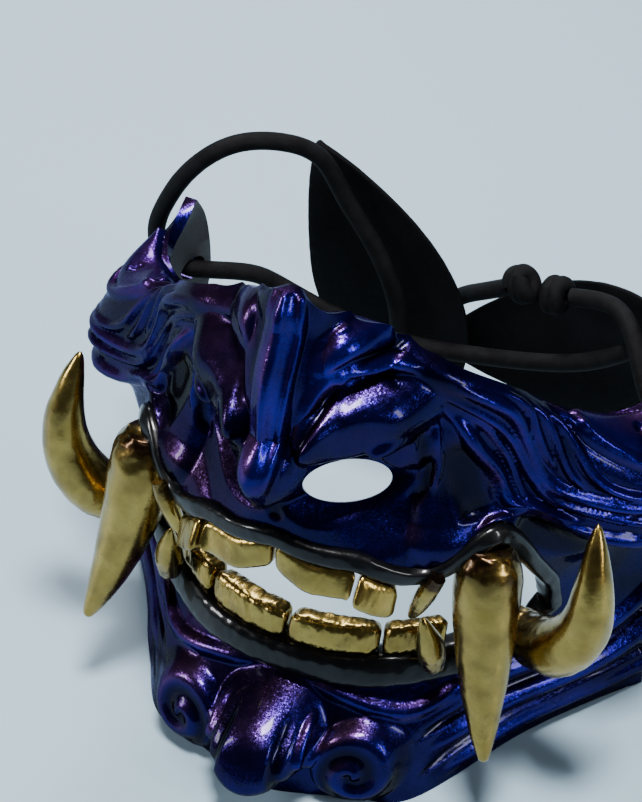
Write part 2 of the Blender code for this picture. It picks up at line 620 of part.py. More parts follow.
def pad(name, places, half_width, across, material):
    """A leaf of leather, pointed at both ends."""
    behind = [0, CORD_RADIUS + GAP + PAD_THICK / 2, 0]
    line = curve_at(np.array(places) * MM + behind, np.linspace(0, len(places) - 1, 15))
    share = np.linspace(0, 1, 15)
    half = half_width * MM * np.maximum(np.sin(np.pi * share) ** 0.8, 0.06)
    run = np.gradient(line, axis=0)
    run /= np.linalg.norm(run, axis=1, keepdims=True)
    wide = np.array(across) - run * (run @ np.array(across))[:, None]
    wide /= np.linalg.norm(wide, axis=1, keepdims=True)
    return tube(name, line, wide, np.cross(run, wide), half, np.full(15, PAD_THICK / 2), material, 12, 5.0)


def knot(name, end, before, material):
    """A lump of the knot, just past an end of the cord."""
    run = (Vector(end) - Vector(before)).normalized()
    middle = Vector(end) + run * (KNOT * CORD_RADIUS + GAP)
    mesh = bmesh.new()
    bmesh.ops.create_uvsphere(mesh, u_segments=12, v_segments=8, radius=KNOT * CORD_RADIUS)
    bmesh.ops.translate(mesh, verts=mesh.verts, vec=middle)
    return new_object(name, mesh, material)


def cord(name, material):
    """The harness cord, as one open curve through its route."""
    points = curve_at(np.array(CORD_ROUTE), np.linspace(0, len(CORD_ROUTE) - 1, CORD_POINTS))
    data = bpy.data.curves.new(name, "CURVE")
    data.dimensions = "3D"
    spline = data.splines.new("POLY")
    spline.points.add(CORD_POINTS - 1)
    for point, place in zip(spline.points, points):
        point.co = (*place, 1)
    data.bevel_depth = CORD_RADIUS
    data.bevel_resolution = 2
    data.use_fill_caps = True
    data.materials.append(material)
    made = bpy.data.objects.new(name, data)
    bpy.context.scene.collection.objects.link(made)


def build():
    for obj in list(bpy.data.objects):
        bpy.data.objects.remove(obj, do_unlink=True)
    paint, black, gold, hide, rope = (finish(name) for name in FINISHES)

    mesh = shell_mesh(COLUMNS, ROWS)
    ratio = SHELL_TRIANGLES / (2 * len(mesh.faces))
    shell = new_object("mask_shell", mesh, paint)
    holes = []
    for side in (-1, 1):
        flip = Vector((side, 1, 1))
        holes.append(rod("nostril_cutter", flip * Vector(NOSTRIL_AT), flip * Vector(NOSTRIL_AXIS),
                         NOSTRIL_HALF, side * NOSTRIL_TILT, 40 * MM))
        holes.append(rod("ear_cutter", flip * Vector(EAR_HOLE_AT), (1, 0, 0),
                         (CORD_RADIUS + EAR_HOLE_CLEARANCE,) * 2, 90, 24 * MM))
    lip("upper_lip", UPPER_LIP, UPPER_LIP_DEPTH, black)
    lower = lip("lower_lip", LOWER_LIP, LOWER_LIP_DEPTH, black)
    seats = [
        lip("upper_lip_cutter", UPPER_LIP, UPPER_LIP_DEPTH, None, GAP, True),
        lip("lower_lip_cutter", LOWER_LIP, LOWER_LIP_DEPTH, None, GAP, True),
    ]
    carve(shell, (), ratio)
    carve(shell, holes + seats)
    carve(lower, seats[:1])
    for side, word in ((1, "left"), (-1, "right")):
        for name, thickest, rows in FANGS:
            carve(fang(f"{name}_{word}", thickest, rows, side, gold), seats)
        for row in TEETH:
            carve(teeth(f"{row[0]}_{word}", row, side, gold), seats)

    for row in PADS:
        pad(*row, hide)
    knot("knot_left", CORD_ROUTE[0], CORD_ROUTE[1], rope)
    knot("knot_right", CORD_ROUTE[-1], CORD_ROUTE[-2], rope)
    cord("harness_cord", rope)
    for made in bpy.context.scene.objects:
        if not made.hide_render:
            made.data.transform(Matrix.Translation((0, -MIDDLE, 0)))


build()
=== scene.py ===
"""Looks of the oni half mask: colour-shift paint on a cast shell, gloss black lips, aged gold teeth,
and a harness of matt cord and black leather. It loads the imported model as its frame."""

import bmesh
import bpy
import numpy as np
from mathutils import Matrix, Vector, noise


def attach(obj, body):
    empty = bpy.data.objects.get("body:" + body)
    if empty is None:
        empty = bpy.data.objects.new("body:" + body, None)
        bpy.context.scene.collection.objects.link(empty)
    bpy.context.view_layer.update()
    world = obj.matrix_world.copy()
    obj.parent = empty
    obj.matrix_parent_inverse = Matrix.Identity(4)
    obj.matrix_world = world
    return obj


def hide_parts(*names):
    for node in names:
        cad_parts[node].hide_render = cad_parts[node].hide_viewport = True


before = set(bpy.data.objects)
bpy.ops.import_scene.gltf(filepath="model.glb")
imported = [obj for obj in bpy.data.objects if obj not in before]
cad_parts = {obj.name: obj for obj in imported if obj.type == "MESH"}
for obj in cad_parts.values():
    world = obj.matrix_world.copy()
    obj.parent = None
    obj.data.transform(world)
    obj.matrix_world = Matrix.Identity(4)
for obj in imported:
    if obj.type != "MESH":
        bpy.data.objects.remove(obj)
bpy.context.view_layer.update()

MM = 0.001
# Driving sizes of the shell
HALF_WIDTH = 80 * MM
DEPTH = 100 * MM
HEIGHT = 168 * MM
WALL = 3.4 * MM
# The middle of the mask from front to back, behind the upper lip; the origin is set there
MIDDLE = 38.9 * MM
# The clearance that every seated piece keeps to its seat
GAP = 0.3 * MM

# Stations run from the face's centre to the ear, levels from the top edge down to the floor
STATIONS = ("centre", "nose side", "nostril", "canine", "big fang", "mouth corner", "flare", "ear")
LEVELS = ("top edge", "brow", "cheekbone", "flare edge", "upper lip", "lower lip", "fold", "jaw", "foot")
# A row for each level and a column for each station, as shares of HALF_WIDTH
ACROSS = (
    (0, 0.106, 0.25, 0.414, 0.59, 0.71, 0.875, 0.925),
    (0, 0.138, 0.28, 0.457, 0.66, 0.84, 0.98, 0.92),
    (0, 0.15, 0.295, 0.462, 0.692, 0.94, 1.06, 0.91),
    (0, 0.15, 0.305, 0.48, 0.66, 0.86, 1.05, 0.93),
    (0, 0.15, 0.30, 0.475, 0.61, 0.75, 0.875, 0.94),
    (0, 0.15, 0.30, 0.45, 0.60, 0.74, 0.86, 0.94),
    (0, 0.16, 0.325, 0.49, 0.64, 0.765, 0.90, 0.975),
    (0, 0.16, 0.34, 0.50, 0.65, 0.80, 0.925, 1.01),
    (0, 0.16, 0.35, 0.51, 0.675, 0.81, 0.94, 1.025),
)
# The same places as shares of DEPTH, behind the upper lip
BACK = (
    (0.10, 0.144, 0.31, 0.31, 0.42, 0.62, 0.76, 0.95),
    (0.07, 0.13, 0.22, 0.27, 0.42, 0.57, 0.72, 1.0),
    (0.06, 0.11, 0.22, 0.30, 0.41, 0.52, 0.68, 1.02),
    (0.03, 0.08, 0.17, 0.24, 0.35, 0.46, 0.60, 1.0),
    (0, 0.01, 0.07, 0.17, 0.26, 0.40, 0.58, 0.84),
    (0.02, 0.03, 0.08, 0.18, 0.30, 0.42, 0.60, 0.82),
    (0.04, 0.05, 0.09, 0.19, 0.32, 0.45, 0.60, 0.76),
    (-0.05, -0.04, -0.01, 0.09, 0.27, 0.43, 0.57, 0.70),
    (-0.12, -0.09, -0.04, 0.03, 0.28, 0.46, 0.60, 0.68),
)
# The same places as shares of HEIGHT, above the floor
UP = (
    (0.98, 0.949, 0.86, 0.817, 0.74, 0.613, 0.585, 0.615),
    (0.90, 0.882, 0.823, 0.779, 0.696, 0.61, 0.565, 0.57),
    (0.78, 0.755, 0.693, 0.651, 0.612, 0.55, 0.505, 0.49),
    (0.643, 0.618, 0.569, 0.539, 0.536, 0.476, 0.429, 0.381),
    (0.50, 0.482, 0.47, 0.44, 0.506, 0.417, 0.369, 0.345),
    (0.286, 0.286, 0.286, 0.28, 0.28, 0.298, 0.286, 0.274),
    (0.196, 0.196, 0.196, 0.196, 0.196, 0.20, 0.20, 0.20),
    (0.107, 0.107, 0.107, 0.107, 0.107, 0.107, 0.107, 0.107),
    (0, 0, 0, 0, 0, 0, 0, 0),
)
EAR = len(STATIONS) - 1
FOOT = len(LEVELS) - 1


def bends(rows):
    """Second derivatives of the natural cubic curve through rows, one unit apart."""
    count = len(rows)
    matrix = np.zeros((count, count))
    matrix[0, 0] = matrix[-1, -1] = 1
    right = np.zeros_like(rows)
    for i in range(1, count - 1):
        matrix[i, i - 1 : i + 2] = 1, 4, 1
        right[i] = 6 * (rows[i - 1] - 2 * rows[i] + rows[i + 1])
    return np.linalg.solve(matrix, right.reshape(count, -1)).reshape(rows.shape)


def curve_at(rows, at):
    """Points of the smooth curve through rows, at the given row numbers, fractions included."""
    rows = np.asarray(rows, float)
    bend = bends(rows)
    at = np.clip(at, 0, len(rows) - 1)
    i = np.minimum(at.astype(int), len(rows) - 2)
    t = (at - i).reshape((-1,) + (1,) * (rows.ndim - 1))
    s = 1 - t
    return s * rows[i] + t * rows[i + 1] + ((s**3 - s) * bend[i] + (t**3 - t) * bend[i + 1]) / 6


def unit(rows):
    """The rows, each as a vector of length one."""
    return rows / np.linalg.norm(rows, axis=1, keepdims=True)


def base(station, level):
    """The shell's smooth form: points at flat arrays of station (-EAR to EAR) and level (0 to FOOT)."""
    half = np.stack(
        [np.array(ACROSS) * HALF_WIDTH, np.array(BACK) * DEPTH, np.array(UP) * HEIGHT], -1
    )
    whole = np.concatenate([half[:, :0:-1] * [-1, 1, 1], half], 1)
    columns = curve_at(np.swapaxes(whole, 0, 1), station + EAR)
    rows = np.swapaxes(columns, 0, 1)
    bend = bends(rows)
    level = np.clip(level, 0, FOOT)
    i = np.minimum(level.astype(int), FOOT - 1)
    t = (level - i)[:, None]
    s = 1 - t
    k = np.arange(len(level))
    return s * rows[i, k] + t * rows[i + 1, k] + ((s**3 - s) * bend[i, k] + (t**3 - t) * bend[i + 1, k]) / 6


# The hollow behind a swell has sides no steeper than this
HOLLOW_EDGE = 1.2
# Big swells of the form; the last column says whether the hollow behind follows the swell
SWELLS = (
    # name, station, level, half width, half height and forward (shares of HALF_WIDTH, HEIGHT and DEPTH),
    # edge, hollow
    ("nose ridge", 0, 2.15, 0.210, 0.170, 0.075, 1.0, 1),
    ("nose tip", 0, 2.80, 0.180, 0.085, 0.085, 1.2, 1),
    ("nose wing", 1.72, 1.74, 0.190, 0.068, 0.125, 1.4, 1),
    ("wing side", 2.30, 2.02, 0.095, 0.062, 0.060, 1.2, 1),
    ("nostril recess", 1.15, 3.00, 0.190, 0.060, -0.060, 1.2, 1),
    ("crest curl", 1.60, 0.55, 0.100, 0.060, 0.040, 1.2, 0),
    ("chin ball", 0, 6.95, 0.215, 0.082, 0.190, 1.3, 1),
    ("chin swirl", 1.90, 7.28, 0.165, 0.078, 0.050, 2.5, 0),
    ("cheek", 3.05, 2.45, 0.125, 0.140, 0.045, 1.2, 1),
    ("lip bow", 2.75, 3.55, 0.200, 0.050, 0.025, 1.2, 0),
)
# Cast lines: a raised rib, or a cut where the height is negative; sizes are shares of WALL
LINES = (
    # name, height, half width, ends that fade, then station and level of each place
    ("crest", 1.45, 1.70, "both", ((0.0, -0.45), (0.0, 1.0), (0.0, 2.0), (0.0, 3.0))),
    ("crest line", 0.22, 0.35, "last", ((0.0, 0.0), (0.0, 0.9), (0.0, 1.8), (0.0, 2.5))),
    ("crest side", 0.30, 0.45, "last", ((0.46, 0.05), (0.38, 0.9), (0.30, 1.8), (0.24, 2.6))),
    ("crest cut", -0.30, 0.45, "last", ((0.24, 0.0), (0.20, 0.9), (0.16, 1.8), (0.13, 2.7))),
    ("curl ridge", 0.95, 1.70, "first", ((0.70, 1.75), (1.05, 1.10), (1.45, 0.62), (1.80, 0.0))),
    ("curl cut", -0.45, 0.75, "both", (
        (0.62, 2.20), (0.95, 1.40), (1.50, 0.92), (2.00, 0.60), (2.25, 0.2))),
    ("fine ridge", 0.22, 0.40, "both", ((0.60, 1.10), (0.90, 0.82), (1.20, 0.48), (1.35, 0.2))),
    ("brow fold", 0.65, 1.00, "both", ((0.52, 2.30), (0.80, 1.60), (1.35, 1.16), (2.0, 0.90), (2.6, 0.80))),
    ("brow cut", -0.30, 0.60, "both", (
        (0.56, 2.55), (0.82, 1.88), (1.30, 1.36), (1.95, 1.14), (2.6, 1.04))),
    ("wing groove", -0.25, 0.70, "both", ((2.50, 1.55), (2.66, 2.0), (2.60, 2.5), (2.25, 2.95))),
    ("wing rim", 0.30, 0.45, "both", ((2.62, 1.45), (2.84, 2.0), (2.76, 2.55))),
    ("philtrum", -0.35, 0.90, "both", ((0.0, 3.15), (0.0, 3.7))),
    ("cheek valley", -0.42, 1.70, "both", ((3.00, 1.70), (3.20, 2.20), (3.36, 2.70), (3.50, 3.20))),
    ("wave 1", 0.80, 0.85, "first", (
        (2.50, 1.42), (3.05, 1.50), (3.32, 1.80), (3.50, 2.10), (3.65, 2.50), (3.90, 2.90), (4.40, 3.12),
        (5.20, 3.12), (6.10, 3.05), (6.90, 3.02))),
    ("wave 2", 0.42, 0.48, "both", (
        (2.75, 1.30), (3.30, 1.45), (3.52, 1.75), (3.70, 2.15), (3.88, 2.55), (4.25, 2.90), (5.00, 2.90),
        (5.80, 2.80))),
    ("wave 3", 0.50, 0.52, "both", (
        (2.70, 1.15), (3.20, 1.25), (3.56, 1.50), (3.76, 1.90), (4.02, 2.40), (4.50, 2.72), (5.20, 2.70),
        (6.10, 2.60), (6.80, 2.60))),
    ("wave 4", 0.60, 0.75, "both", (
        (3.00, 0.85), (3.35, 0.90), (3.70, 1.08), (3.82, 1.50), (3.94, 1.95), (4.22, 2.40), (4.90, 2.48),
        (5.80, 2.30), (6.60, 2.30))),
    ("wave 5", 0.42, 0.45, "both", ((3.70, 0.30), (3.95, 0.80), (3.98, 1.30), (4.06, 1.80), (4.22, 2.15))),
    ("wave 6", 0.45, 0.45, "both", ((4.05, 0.40), (4.16, 1.15), (4.22, 1.65), (4.36, 2.08), (4.70, 2.38))),
    ("wave 7", 0.48, 0.50, "both", (
        (4.20, 0.45), (4.34, 1.10), (4.46, 1.65), (4.66, 2.05), (5.20, 2.20), (6.20, 2.0))),
    ("wave 8", 0.55, 0.60, "both", (
        (4.38, 0.05), (4.50, 0.70), (4.64, 1.15), (4.95, 1.42), (5.50, 1.55), (6.10, 1.45), (6.70, 1.30))),
    ("flare recess", -0.60, 1.70, "both", ((4.2, 3.42), (4.7, 3.56), (5.4, 3.56), (6.3, 3.50))),
    ("under lip", 0.50, 0.90, "both", (
        (0.45, 6.12), (1.2, 6.20), (2.0, 6.38), (2.75, 6.50), (3.3, 6.34), (3.9, 6.2))),
    ("jaw wave", 0.50, 1.10, "first", (
        (2.95, 6.85), (3.5, 6.55), (4.2, 6.42), (5.2, 6.40), (6.0, 6.30), (6.9, 6.2))),
    ("jaw cut", -0.45, 0.60, "first", (
        (2.80, 7.00), (3.3, 6.86), (4.0, 6.76), (5.0, 6.74), (6.0, 6.66), (6.9, 6.5))),
    ("low wave", 0.50, 1.10, "first", (
        (3.00, 7.30), (3.6, 7.14), (4.4, 7.04), (5.2, 7.02), (6.0, 6.98), (6.9, 6.9))),
    ("low cut", -0.45, 0.60, "first", (
        (2.95, 7.70), (3.4, 7.48), (4.2, 7.34), (5.1, 7.30), (6.0, 7.28), (6.9, 7.25))),
    ("edge wave", 0.45, 1.00, "first", ((3.2, 7.85), (3.9, 7.68), (4.8, 7.62), (5.6, 7.62), (6.9, 7.6))),
    ("chin cut", -0.30, 0.80, "both", ((0.62, 6.35), (0.70, 6.85), (0.80, 7.5))),
    ("chin ridge", 0.50, 0.60, "both", ((0.95, 6.45), (0.98, 6.8), (1.02, 7.1))),
)
# Lines that are only faint on the nose's left side
FAINT_SHARE = 0.3
FAINT_LEFT = ("crest side", "crest cut", "curl ridge", "curl cut", "fine ridge", "brow fold", "brow cut")
# The raised drop in front of each ear, with its dimple
DROP = ((4.75, 0.75), (5.35, 0.82), (5.95, 0.72), (6.45, 0.40))
DROP_HEIGHT = 0.70
DROP_HALF_WIDTH = 2.3
DIMPLE_AT = (5.6, 0.82)
DIMPLE_RADIUS = 2.3 * MM
DIMPLE_DEPTH = 1.4 * MM
# The spiral on each side of the chin
SWIRL_AT = (1.90, 7.28)
SWIRL_RADIUS = 12.5 * MM
SWIRL_HEIGHT = 1.5 * MM
SWIRL_TURNS = 1.6
PATH_STEPS = 30
# The share of a line over which its end fades, and how round each line's section is
FADE = 0.22
RIB_ROUNDNESS = 1.5
EDGE_STEP = 0.06

# The mouth's upper and lower edge: a level at each fifth of the way from the centre to the mouth corner
MOUTH_TOP = (3.77, 3.77, 3.77, 3.78, 3.66, 4.45)
MOUTH_FOOT = (5.93, 5.93, 5.93, 5.93, 5.80, 5.20)
# The corner's station; the count of columns is a multiple of 8, so that one column ends on it
CORNER = 0.75 * 7
# Nostrils and the cord's holes in the ears
NOSTRIL_AT = (0.19 * HALF_WIDTH, 0.12 * DEPTH, 0.62 * HEIGHT)
NOSTRIL_HALF = (11.5 * MM, 5.5 * MM)
NOSTRIL_TILT = 28
NOSTRIL_AXIS = (0.31, -0.65, 0.695)
EAR_HOLE_AT = (0.95 * HALF_WIDTH, 0.95 * DEPTH, 0.458 * HEIGHT)
EAR_HOLE_CLEARANCE = 1.3 * MM

# Lips: the way along the mouth's edge, and the half height there. The way is 0 at the centre of the top
# edge, 1 at its corner, 2 at the foot edge's corner and 3 at its centre.
UPPER_LIP = (
    (0, 3.0 * MM), (0.62, 3.0 * MM), (0.78, 3.6 * MM), (0.95, 2.6 * MM), (1.3, 2.0 * MM), (2.1, 2.4 * MM),
)
LOWER_LIP = ((2.12, 3.4 * MM), (2.3, 4.6 * MM), (2.5, 5.2 * MM), (3, 5.2 * MM))
# How far each lip bites into the wall's edge
LIP_BITE = 0.9 * MM
UPPER_LIP_DEPTH = 4.0 * MM
LOWER_LIP_DEPTH = 5.6 * MM

# Harness cord, pads and knot, in the mask's frame
CORD_RADIUS = 2.6 * MM
# One cord from knot to knot: x, y, z of each place it passes
CORD_ROUTE = tuple((x * MM, y * MM, z * MM) for x, y, z in (
    (15.9, 120.3, 83.3), (6, 123.5, 75), (-4, 127.5, 65), (-13, 129, 50), (-14, 131, 32), (-10, 131.5, 16),
    (-8, 126, 8), (-10, 120, 15), (-15, 117.5, 32), (-17.5, 117.5, 50), (-18, 117, 66), (-25, 117, 85),
    (-34.5, 117, 100), (-41, 115.5, 113), (-50, 110, 120), (-62, 102, 121), (-73, 97, 112),
    (-80, 95.5, 100),
    (-84, 95, 88), (-82, 95, 79), (-76, 95, 77), (-70, 95.5, 77), (-58, 101.5, 75.5), (-47, 107, 68),
    (-20, 109, 60), (10, 111, 62), (40, 110, 72), (58, 108.5, 86), (70, 108.5, 94), (80, 106, 94),
    (86, 98, 88), (83, 95, 79), (76, 95, 77), (70, 95.5, 77.5), (63, 101, 83), (54, 111, 91.5),
    (44, 118, 90), (34.4, 119.3, 87.0),
))
# Each lump of the knot, as a share of the cord's radius
KNOT = 1.9
PAD_THICK = 2.0 * MM
# Pads behind the cord: places of the cord before the middle line in millimetres, half width, direction
# across
PADS = (
    ("leather_pad_left", ((-45, 117.1, 114), (-28, 117.6, 79), (-18, 118.6, 48), (-8, 122.1, 13.5)),
     24, (0.9, 0.0, 0.44)),
    ("leather_pad_right", ((82, 102.6, 86), (60, 116.6, 72), (28, 124.6, 57), (-12, 129.6, 40)),
     24, (-0.3, 0.1, 0.95)),
)

# Fangs and tusks, root first: across, back and up (shares of HALF_WIDTH, DEPTH, HEIGHT), radius (share)
FANGS = (
    ("big_fang", 8.8 * MM, (
        (0.625, 0.250, 0.494, 0.66),
        (0.629, 0.235, 0.458, 1.00),
        (0.644, 0.200, 0.381, 1.00),
        (0.681, 0.130, 0.274, 0.75),
        (0.731, 0.050, 0.185, 0.34),
        (0.750, 0.020, 0.158, 0.11),
    )),
    ("tusk", 8.2 * MM, (
        (0.669, 0.350, 0.277, 0.61),
        (0.750, 0.315, 0.280, 0.86),
        (0.863, 0.275, 0.304, 1.00),
        (0.950, 0.265, 0.369, 0.89),
        (0.969, 0.280, 0.452, 0.66),
        (0.950, 0.320, 0.524, 0.35),
        (0.938, 0.345, 0.560, 0.09),
    )),
    ("upper_small_fang", 2.7 * MM, (
        (0.506, 0.130, 0.470, 0.81),
        (0.475, 0.125, 0.435, 1.00),
        (0.438, 0.125, 0.387, 0.74),
        (0.412, 0.130, 0.357, 0.22),
    )),
    ("lower_small_fang", 3.9 * MM, (
        (0.494, 0.145, 0.256, 0.82),
        (0.487, 0.135, 0.298, 1.00),
        (0.475, 0.125, 0.339, 0.67),
        (0.463, 0.120, 0.375, 0.15),
    )),
)
# Teeth blocks: row, stations of both ends, distance of the middle line from the mouth's edge, half height,
# half depth
TEETH = (
    ("upper_front_teeth", 0.035, 1.83, 9.4 * MM, 4.7 * MM, 3.0 * MM),
    ("upper_side_teeth", 1.89, 2.50, 9.4 * MM, 4.7 * MM, 2.8 * MM),
    ("lower_front_teeth", 0.035, 1.90, 13.6 * MM, 4.6 * MM, 3.8 * MM),
    ("lower_side_teeth", 1.95, 3.02, 13.4 * MM, 4.5 * MM, 3.6 * MM),
)


def mirrored(station):
    return (station,) if station == 0 else (station, -station)


def place_of(station, level):
    return base(np.array([float(station)]), np.array([float(level)]))[0]


def form(station, level, hollow=False):
    """The base with its big swells, or with only those that the hollow behind follows."""
    points = base(station, level)
    moved = points.copy()
    for _, at, height, across, up, forward, edge, follows in SWELLS:
        if hollow and not follows:
            continue
        for side in mirrored(at):
            middle = place_of(side, height)
            x = (points[:, 0] - middle[0]) / (across * HALF_WIDTH)
            z = (points[:, 2] - middle[2]) / (up * HEIGHT)
            steep = min(edge, HOLLOW_EDGE) if hollow else edge
            share = np.clip(1 - (x * x + z * z) ** steep, 0, 1)
            moved[:, 1] -= forward * DEPTH * share * share * (3 - 2 * share)
    return moved


def outward(station, level, hollow=False):
    """Unit normals of the form, away from the face."""
    s, v = np.clip(station, -EAR + EDGE_STEP, EAR - EDGE_STEP), np.clip(level, EDGE_STEP, FOOT - EDGE_STEP)
    run = form(s + EDGE_STEP, v, hollow) - form(s - EDGE_STEP, v, hollow)
    drop = form(s, v + EDGE_STEP, hollow) - form(s, v - EDGE_STEP, hollow)
    return unit(np.cross(drop, run))


def path_on_form(path):
    """A smooth path on the form, from its places in station and level."""
    path = np.array(path, float)
    places = curve_at(path, np.linspace(0, len(path) - 1, PATH_STEPS))
    return form(places[:, 0], places[:, 1])


def along(points, path):
    """Distance from each point to the path, and the share of the path at its nearest place."""
    best = np.full(len(points), np.inf)
    share = np.zeros(len(points))
    steps = len(path) - 1
    for i in range(steps):
        run = path[i + 1] - path[i]
        t = np.clip((points - path[i]) @ run / max(run @ run, 1e-12), 0, 1)
        far = np.linalg.norm(points - path[i] - t[:, None] * run, axis=1)
        nearer = far < best
        best[nearer] = far[nearer]
        share[nearer] = (i + t[nearer]) / steps
    return best, share


def rib(points, path, height, half_width, fades):
    """A round rib over the path, which fades out at the named ends."""
    far, share = along(points, path)
    start = share if fades in ("first", "both") else 1
    end = 1 - share if fades in ("last", "both") else 1
    fade = np.clip(np.minimum(start, end) / FADE, 0, 1)
    fade = fade * fade * (3 - 2 * fade)
    width = half_width * (0.6 + 0.4 * fade)
    return height * fade * np.clip(1 - (far / width) ** 2, 0, 1) ** RIB_ROUNDNESS


def spiral(points):
    """The chin's spiral rib."""
    centre = form(np.array([SWIRL_AT[0]]), np.array([SWIRL_AT[1]]))[0]
    x, z = points[:, 0] - centre[0], points[:, 2] - centre[2]
    share = np.hypot(x, z) / SWIRL_RADIUS
    wave = np.cos(np.arctan2(z, x) - 2 * np.pi * SWIRL_TURNS * share)
    near = np.linalg.norm(points - centre, axis=1) < 2 * SWIRL_RADIUS
    return SWIRL_HEIGHT * 0.5 * wave * np.clip((1.08 - share) / 0.2, 0, 1) * near


def relief(points):
    """Height of the cast relief over the form."""
    sided = np.stack([np.abs(points[:, 0]), points[:, 1], points[:, 2]], -1)
    total = spiral(sided)
    for name, height, half_width, fades, path in LINES:
        raised = rib(sided, path_on_form(path), height * WALL, half_width * WALL, fades)
        total += raised * np.where(points[:, 0] < 0, FAINT_SHARE, 1) if name in FAINT_LEFT else raised
    far, share = along(sided, path_on_form(DROP))
    width = DROP_HALF_WIDTH * WALL * np.sin(np.pi * np.clip(0.18 + 0.8 * share, 0, 1))
    total += DROP_HEIGHT * WALL * np.clip(1 - (far / np.maximum(width, 1e-5)) ** 4, 0, 1)
    dimple = form(np.array([DIMPLE_AT[0]]), np.array([DIMPLE_AT[1]]))[0]
    far = np.linalg.norm(sided - dimple, axis=1)
    return total - DIMPLE_DEPTH * np.clip(1 - (far / DIMPLE_RADIUS) ** 2, 0, 1)


def inner_wall(station, level):
    return form(station, level, True) - outward(station, level, True) * WALL


def mouth_levels(station):
    """Levels of the mouth's upper and lower edge at each station."""
    at = np.clip(np.abs(station) / CORNER, 0, 1) * (len(MOUTH_TOP) - 1)
    return curve_at(np.array(MOUTH_TOP), at), curve_at(np.array(MOUTH_FOOT), at)


def edge_start(station):
    """Level at which the shell starts: 0, or lower down in each notch of its top edge."""
    start = 0 * station
    for at, half, depth in NOTCHES:
        start += depth * np.clip(1 - ((np.abs(station) - at) / half) ** 2, 0, 1) ** 2
    return start


def grid_places(columns, rows):
    """Station and level of each grid point, with a row along both edges of the mouth."""
    station = np.linspace(-EAR, EAR, columns + 1)
    top, foot = mouth_levels(station)
    bands = []
    for (low, high), count in zip(((edge_start(station), top), (top, foot), (foot, 0 * foot + FOOT)), rows):
        share = np.arange(count)[:, None] / count
        bands.append(low + (high - low) * share)
    level = np.concatenate(bands + [np.full((1, columns + 1), float(FOOT))])
    return np.broadcast_to(station, level.shape), level


def edge_place(way):
    """Station and level on the mouth's edge, at each way round its right half."""
    station = CORNER * np.clip(np.where(way < 1.5, way, 3 - way), 0, 1)
    top, foot = mouth_levels(station)
    down = np.clip(way - 1, 0, 1)
    return station, top + (foot - top) * down


def edge_frame(way, distance):
    """Points in the mouth at a distance from its edge, with unit vectors into the mouth and outward."""
    def mid_wall(way):
        station, level = edge_place(np.clip(way, 0, 3))
        return form(station, level) - outward(station, level) * WALL / 2

    flip = np.where(way < 0, -1, 1)[:, None] * [1, 0, 0] + [0, 1, 1]
    side = np.abs(way)
    run = mid_wall(side + 0.01) - mid_wall(side - 0.01)
    normal = outward(*edge_place(side))
    inward = unit(np.cross(run, normal))
    points = mid_wall(side) + inward * np.asarray(distance)[:, None]
    return points * flip, inward * flip, normal * flip


def eased(rows, times):
    """The rows with their kinks rounded off, ends kept."""
    rows = rows.copy()
    for _ in range(times):
        rows[1:-1] = rows[:-2] / 4 + rows[1:-1] / 2 + rows[2:] / 4
    return rows


# ---- Pieces ----

def shifted(points):
    """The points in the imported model's frame."""
    return np.asarray(points) - [0, MIDDLE, 0]


def smoothed(mesh, sharp_angle=50):
    """Smooth faces, with a sharp edge wherever two of them meet steeply."""
    for face in mesh.faces:
        face.smooth = True
    for edge in mesh.edges:
        edge.smooth = len(edge.link_faces) != 2 or edge.calc_face_angle(0) < np.radians(sharp_angle)


def from_mesh(name, mesh):
    """An object, not yet in the scene, from a bmesh that is finished with."""
    data = bpy.data.meshes.new(name)
    mesh.to_mesh(data)
    mesh.free()
    return bpy.data.objects.new(name, data)


def into_scene(made):
    bpy.context.scene.collection.objects.link(made)


def new_piece(name, mesh, materials, slot, *nodes):
    """A piece from a finished bmesh: it rides on the root body and stands for the named nodes."""
    return settled(from_mesh(name, mesh), materials, slot, *nodes)


def settled(made, materials, slot, *nodes):
    if made.name not in bpy.context.scene.collection.objects:
        into_scene(made)
    for material in materials:
        made.data.materials.append(material)
    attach(made, "root")
    if nodes:
        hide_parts(*nodes)
    return made


def scattered(places, size, seed=0.0):
    """Smooth noise from -1 to 1 at each place, with bumps of about the given size."""
    return np.array([noise.noise(Vector(place) / size + Vector((seed, seed, seed))) for place in places])


def swept(centres, across, depth, half_across, half_depth, ring=32, power=2.0, marks=None):
    """A closed form swept through sections. marks holds a value for each section, kept on its vertices."""
    angle = np.linspace(0, 2 * np.pi, ring + 1)
    out, up = (np.sign(wave) * np.abs(wave) ** (2 / power) for wave in (np.cos(angle), np.sin(angle)))
    points = centres[:, None] + (
        across[:, None] * (half_across[:, None] * out)[..., None]
        + depth[:, None] * (half_depth[:, None] * up)[..., None]
    )
    mesh = bmesh.new()
    share = mesh.verts.layers.float.new("along")
    count = len(centres) - 1
    made = bmesh.ops.create_grid(mesh, x_segments=ring, y_segments=count, size=1)["verts"]
    for vert in made:
        column, row = round((vert.co.x + 1) / 2 * ring), round((1 - vert.co.y) / 2 * count)
        vert.co = shifted(points[row, column % ring])
        vert[share] = row / count if marks is None else marks[row]
    bmesh.ops.remove_doubles(mesh, verts=mesh.verts, dist=1e-7)
    bmesh.ops.holes_fill(mesh, edges=[edge for edge in mesh.edges if edge.is_boundary], sides=0)
    bmesh.ops.recalc_face_normals(mesh, faces=mesh.faces)
    return mesh


def displaced(mesh, heights):
    """Move each vertex out along its normal by its own height."""
    mesh.normal_update()
    moves = [vert.normal * height for vert, height in zip(mesh.verts, heights)]
    for vert, move in zip(mesh.verts, moves):
        vert.co += move


def places_of(mesh):
    return np.array([vert.co[:] for vert in mesh.verts])


# Notches in the top edge: station, half width, depth in levels
NOTCHES = ((0.95, 0.45, 0.25), (2.45, 0.50, 0.20))
